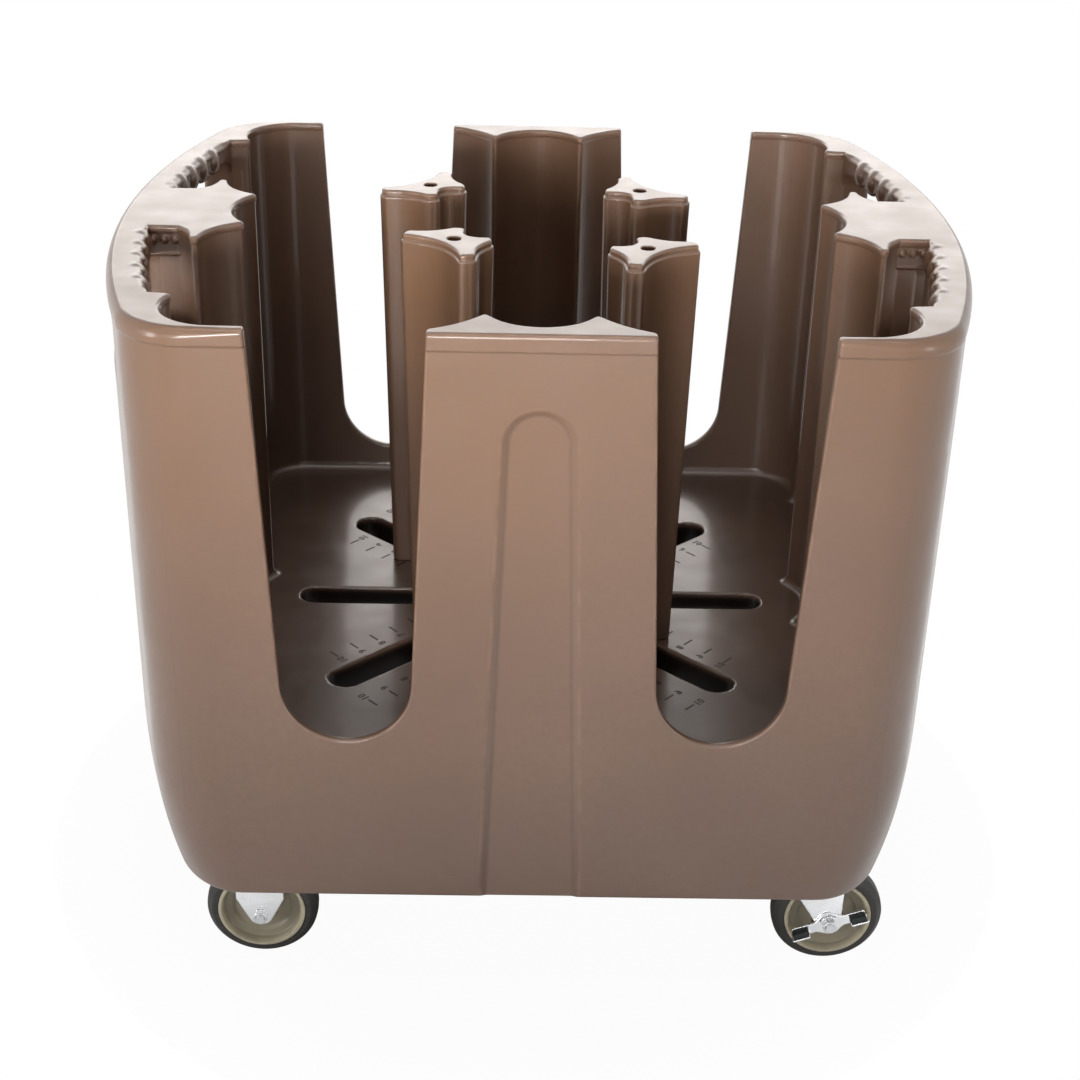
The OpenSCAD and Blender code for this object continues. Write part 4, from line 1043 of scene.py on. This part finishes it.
# %% Brakes and nuts as fields
ROCKER_TILT, ROCKER_Y, ROCKER_HALF_T = np.radians(20), 25.8, 1.5
ARM_END, ARM_HALF_W, ROCKER_HUB_R, ROCKER_HOLE_R = 43, 6.5, 14, 5.05
SHELF_U, SHELF_HALF, SHELF_OUT, SHELF_W, SHELF_HALF_T = 34.5, 10.5, 7, -2.8, 1.2
BOW_SLOT_R, BOW_SLOT_HALF = 11.2, 1.1
PAD_U, PAD_HALF, PAD_OUT, PAD_HALF_OUT, PAD_W, PAD_HALF_W = 33.5, 9.5, 7.5, 4.5, 1.7, 3.3
GROOVES_FROM, GROOVE_STEP, GROOVE_W, GROOVE_R = 24, 3.8, 5.4, 1
NUT_HALF, NUT_HALF_H, NUT_HOLE_R, CHAMFER_R, CHAMFER_RISE = 7.36, 3.5, 5, 7.7, 1.6


def on_rocker(x, z):
    """Places along and across the rocker, whose arm towards -X points down."""
    return (x * np.cos(ROCKER_TILT) + z * np.sin(ROCKER_TILT),
            z * np.cos(ROCKER_TILT) - x * np.sin(ROCKER_TILT))


def rocker_field(x, y, z):
    """A flat arm with a round middle, a shelf under each pad and a curved slot over the nut."""
    u, w = on_rocker(x, z)
    arm = cut_round(np.abs(u) - ARM_END, np.abs(w) - ARM_HALF_W, 3)
    sheet = join_round(np.hypot(u, w) - ROCKER_HUB_R, arm, 5)
    sheet = cut_round(sheet, np.abs(y - ROCKER_Y - ROCKER_HALF_T) - ROCKER_HALF_T, 0.7)
    shelf = cut_round(np.abs(np.abs(u) - SHELF_U) - SHELF_HALF,
                      np.abs(y - ROCKER_Y - SHELF_OUT) - SHELF_OUT, 2)
    shelf = cut_round(shelf, np.abs(w - SHELF_W) - SHELF_HALF_T, 0.7)
    bow_slot = np.abs(np.hypot(u, w) - BOW_SLOT_R) - BOW_SLOT_HALF
    bow_slot = np.maximum(bow_slot, 0.6 * np.abs(u) - w)
    holes = np.minimum(np.hypot(u, w) - ROCKER_HOLE_R, bow_slot)
    return cut_round(join_round(sheet, shelf, 1.5), -holes, 0.3)


def pads_field(x, y, z):
    """A rubber block on each arm, grooved across its top."""
    u, w = on_rocker(x, z)
    au = np.abs(u)
    block = cut_round(np.abs(au - PAD_U) - PAD_HALF, np.abs(w - PAD_W) - PAD_HALF_W, 2)
    block = cut_round(block, np.abs(y - ROCKER_Y - PAD_OUT) - PAD_HALF_OUT, 1.2)
    from_groove = (au - GROOVES_FROM) % GROOVE_STEP - GROOVE_STEP / 2
    return cut_round(block, GROOVE_R - np.hypot(from_groove, w - GROOVE_W), 0.3)


def nut_field(x, y, z):
    """A hexagon of 14.7 mm across flats, with both faces chamfered, and its hole."""
    flats = np.maximum(np.abs(z), np.abs(x) * 0.866 + np.abs(z) * 0.5) - NUT_HALF
    chamfer = np.hypot(x, z) + CHAMFER_RISE * np.abs(y) - CHAMFER_R - CHAMFER_RISE * 3.3
    nut = cut_round(cut_round(flats, np.abs(y) - NUT_HALF_H, 0.3), chamfer / 1.9, 0.3)
    return cut_round(nut, NUT_HOLE_R - np.hypot(x, z), 0.5)


# %% Brakes and nuts
RIGID_NUT_OUT, SWIVEL_NUT_OUT = 29, 32.6
rocker_skin = field_skin(rocker_field, steps((-48, 48, 0.9), coarse=FINE),
                         steps((24.6, 41.4, 0.7)), steps((-28, 28, 0.9), coarse=FINE), 7000)
pads_skin = field_skin(pads_field, steps((-46, 46, 0.8), coarse=FINE),
                       steps((27, 39, 0.9), coarse=FINE), steps((-26, 26, 0.8), coarse=FINE), 6000)
nut_side = steps((-9, 9, 0.6))
nut_skin = field_skin(nut_field, nut_side, steps((-4.5, 4.5, 0.5)), nut_side, 2500)
for end, sy in ENDS.items():
    skin_piece("rocker_pressing_" + end, rocker_skin, "brake_" + end, ["brake_rocker_" + end],
               bright_zinc, (1, sy), axle(1, sy))
    skin_piece("foot_pads_" + end, pads_skin, "brake_" + end, ["brake_pads_" + end],
               pad_rubber, (1, sy), axle(1, sy))
for corner, (sx, sy) in CORNERS.items():
    at = axle(sx, sy, SWIVEL_NUT_OUT if sx > 0 else RIGID_NUT_OUT)
    carrier = "dolly" if sx < 0 else "swivel_front" if sy < 0 else "swivel_rear"
    skin_piece("hex_nut_" + corner, nut_skin, carrier, ["axle_nut_" + corner],
               fastener_zinc, (1, sy), at)

# %% [markdown]
# ## The scale on the dish floor
# Short lines across each slot tell how far out its divider stands, with a number beside each,
# so that all four posts can be set for one size of plate. They are thin raised marks, coloured near
# black as painted shade in place of the shadow that falls in the moulded lines.

# %% Marks
NEAR_MARKS = [(119 + 29.2 * k, -49.5) for k in range(6)]
FAR_MARKS = [(150 + 29.4 * k, 62.5) for k in range(6)]
BAR_HALF_W, BAR_HALF_LENGTH, BAR_SUNK, BAR_RAISED = 1.1, 7.5, 0.1, 0.15
DIGIT_SIZE, DIGIT_HALF_T, DIGIT_BOLD, DIGIT_UP, DIGIT_IN = 13, 0.12, 0.3, 0.03, 16
FIRST_NUMBER = 5


def bar_mark(u, v):
    """A line of 15 by 2.2 mm across the slot, as a closed box of eight corners."""
    ends = np.array([(a, b, c) for a in (-BAR_HALF_W, BAR_HALF_W)
                     for b in (-BAR_HALF_LENGTH, BAR_HALF_LENGTH) for c in (-BAR_SUNK, BAR_RAISED)])
    quads = np.array([(0, 1, 3, 2), (4, 6, 7, 5), (0, 4, 5, 1), (2, 3, 7, 6), (0, 2, 6, 4),
                      (1, 5, 7, 3)])
    triangles = np.concatenate([quads[:, [0, 1, 2]], quads[:, [0, 2, 3]]])
    return ends + (u, v, DISH_FLOOR), triangles


def number_mark(digits, u, v):
    """A number made a mesh, about 9 mm high and centred on (u, v)."""
    letters = bpy.data.curves.new("number", "FONT")
    letters.body, letters.size = digits, DIGIT_SIZE
    letters.extrude, letters.offset = DIGIT_HALF_T, DIGIT_BOLD
    letters.align_x, letters.align_y, letters.resolution_u = "CENTER", "CENTER", 2
    holder = bpy.data.objects.new("number", letters)
    bpy.context.collection.objects.link(holder)
    solid = bmesh.new()
    solid.from_mesh(holder.to_mesh())
    bmesh.ops.remove_doubles(solid, verts=solid.verts, dist=0.001)
    bmesh.ops.triangulate(solid, faces=solid.faces)
    points = np.array([p.co for p in solid.verts])
    triangles = np.array([[p.index for p in face.verts] for face in solid.faces])
    solid.free()
    bpy.data.objects.remove(holder)
    turned = points[:, [1, 0, 2]] * (1, -1, 1)
    return turned + (u, v, DISH_FLOOR + DIGIT_UP), triangles


corners, triangles, count = [], [], 0
for sx, sy in CORNERS.values():
    for k, (u, v) in enumerate(NEAR_MARKS + FAR_MARKS):
        digits, beside = str(FIRST_NUMBER + k % 6), v - np.sign(v) * DIGIT_IN
        for points, faces in (bar_mark(u, v), number_mark(digits, u, beside)):
            x, y = from_slot(points[:, 0], points[:, 1], sx, sy)
            corners.append(np.stack([x, y, points[:, 2]], 1))
            triangles.append((faces if sx * sy > 0 else faces[:, ::-1]) + count)
            count += len(points)
marks = new_mesh("floor_scale", np.concatenate(corners) * MM, np.concatenate(triangles))
marks.polygons.foreach_set("use_smooth", np.zeros(len(marks.polygons), bool))
new_piece("floor_scale", marks, "dolly", (), painted_shade_mark_plastic)
print("marks", len(triangles))
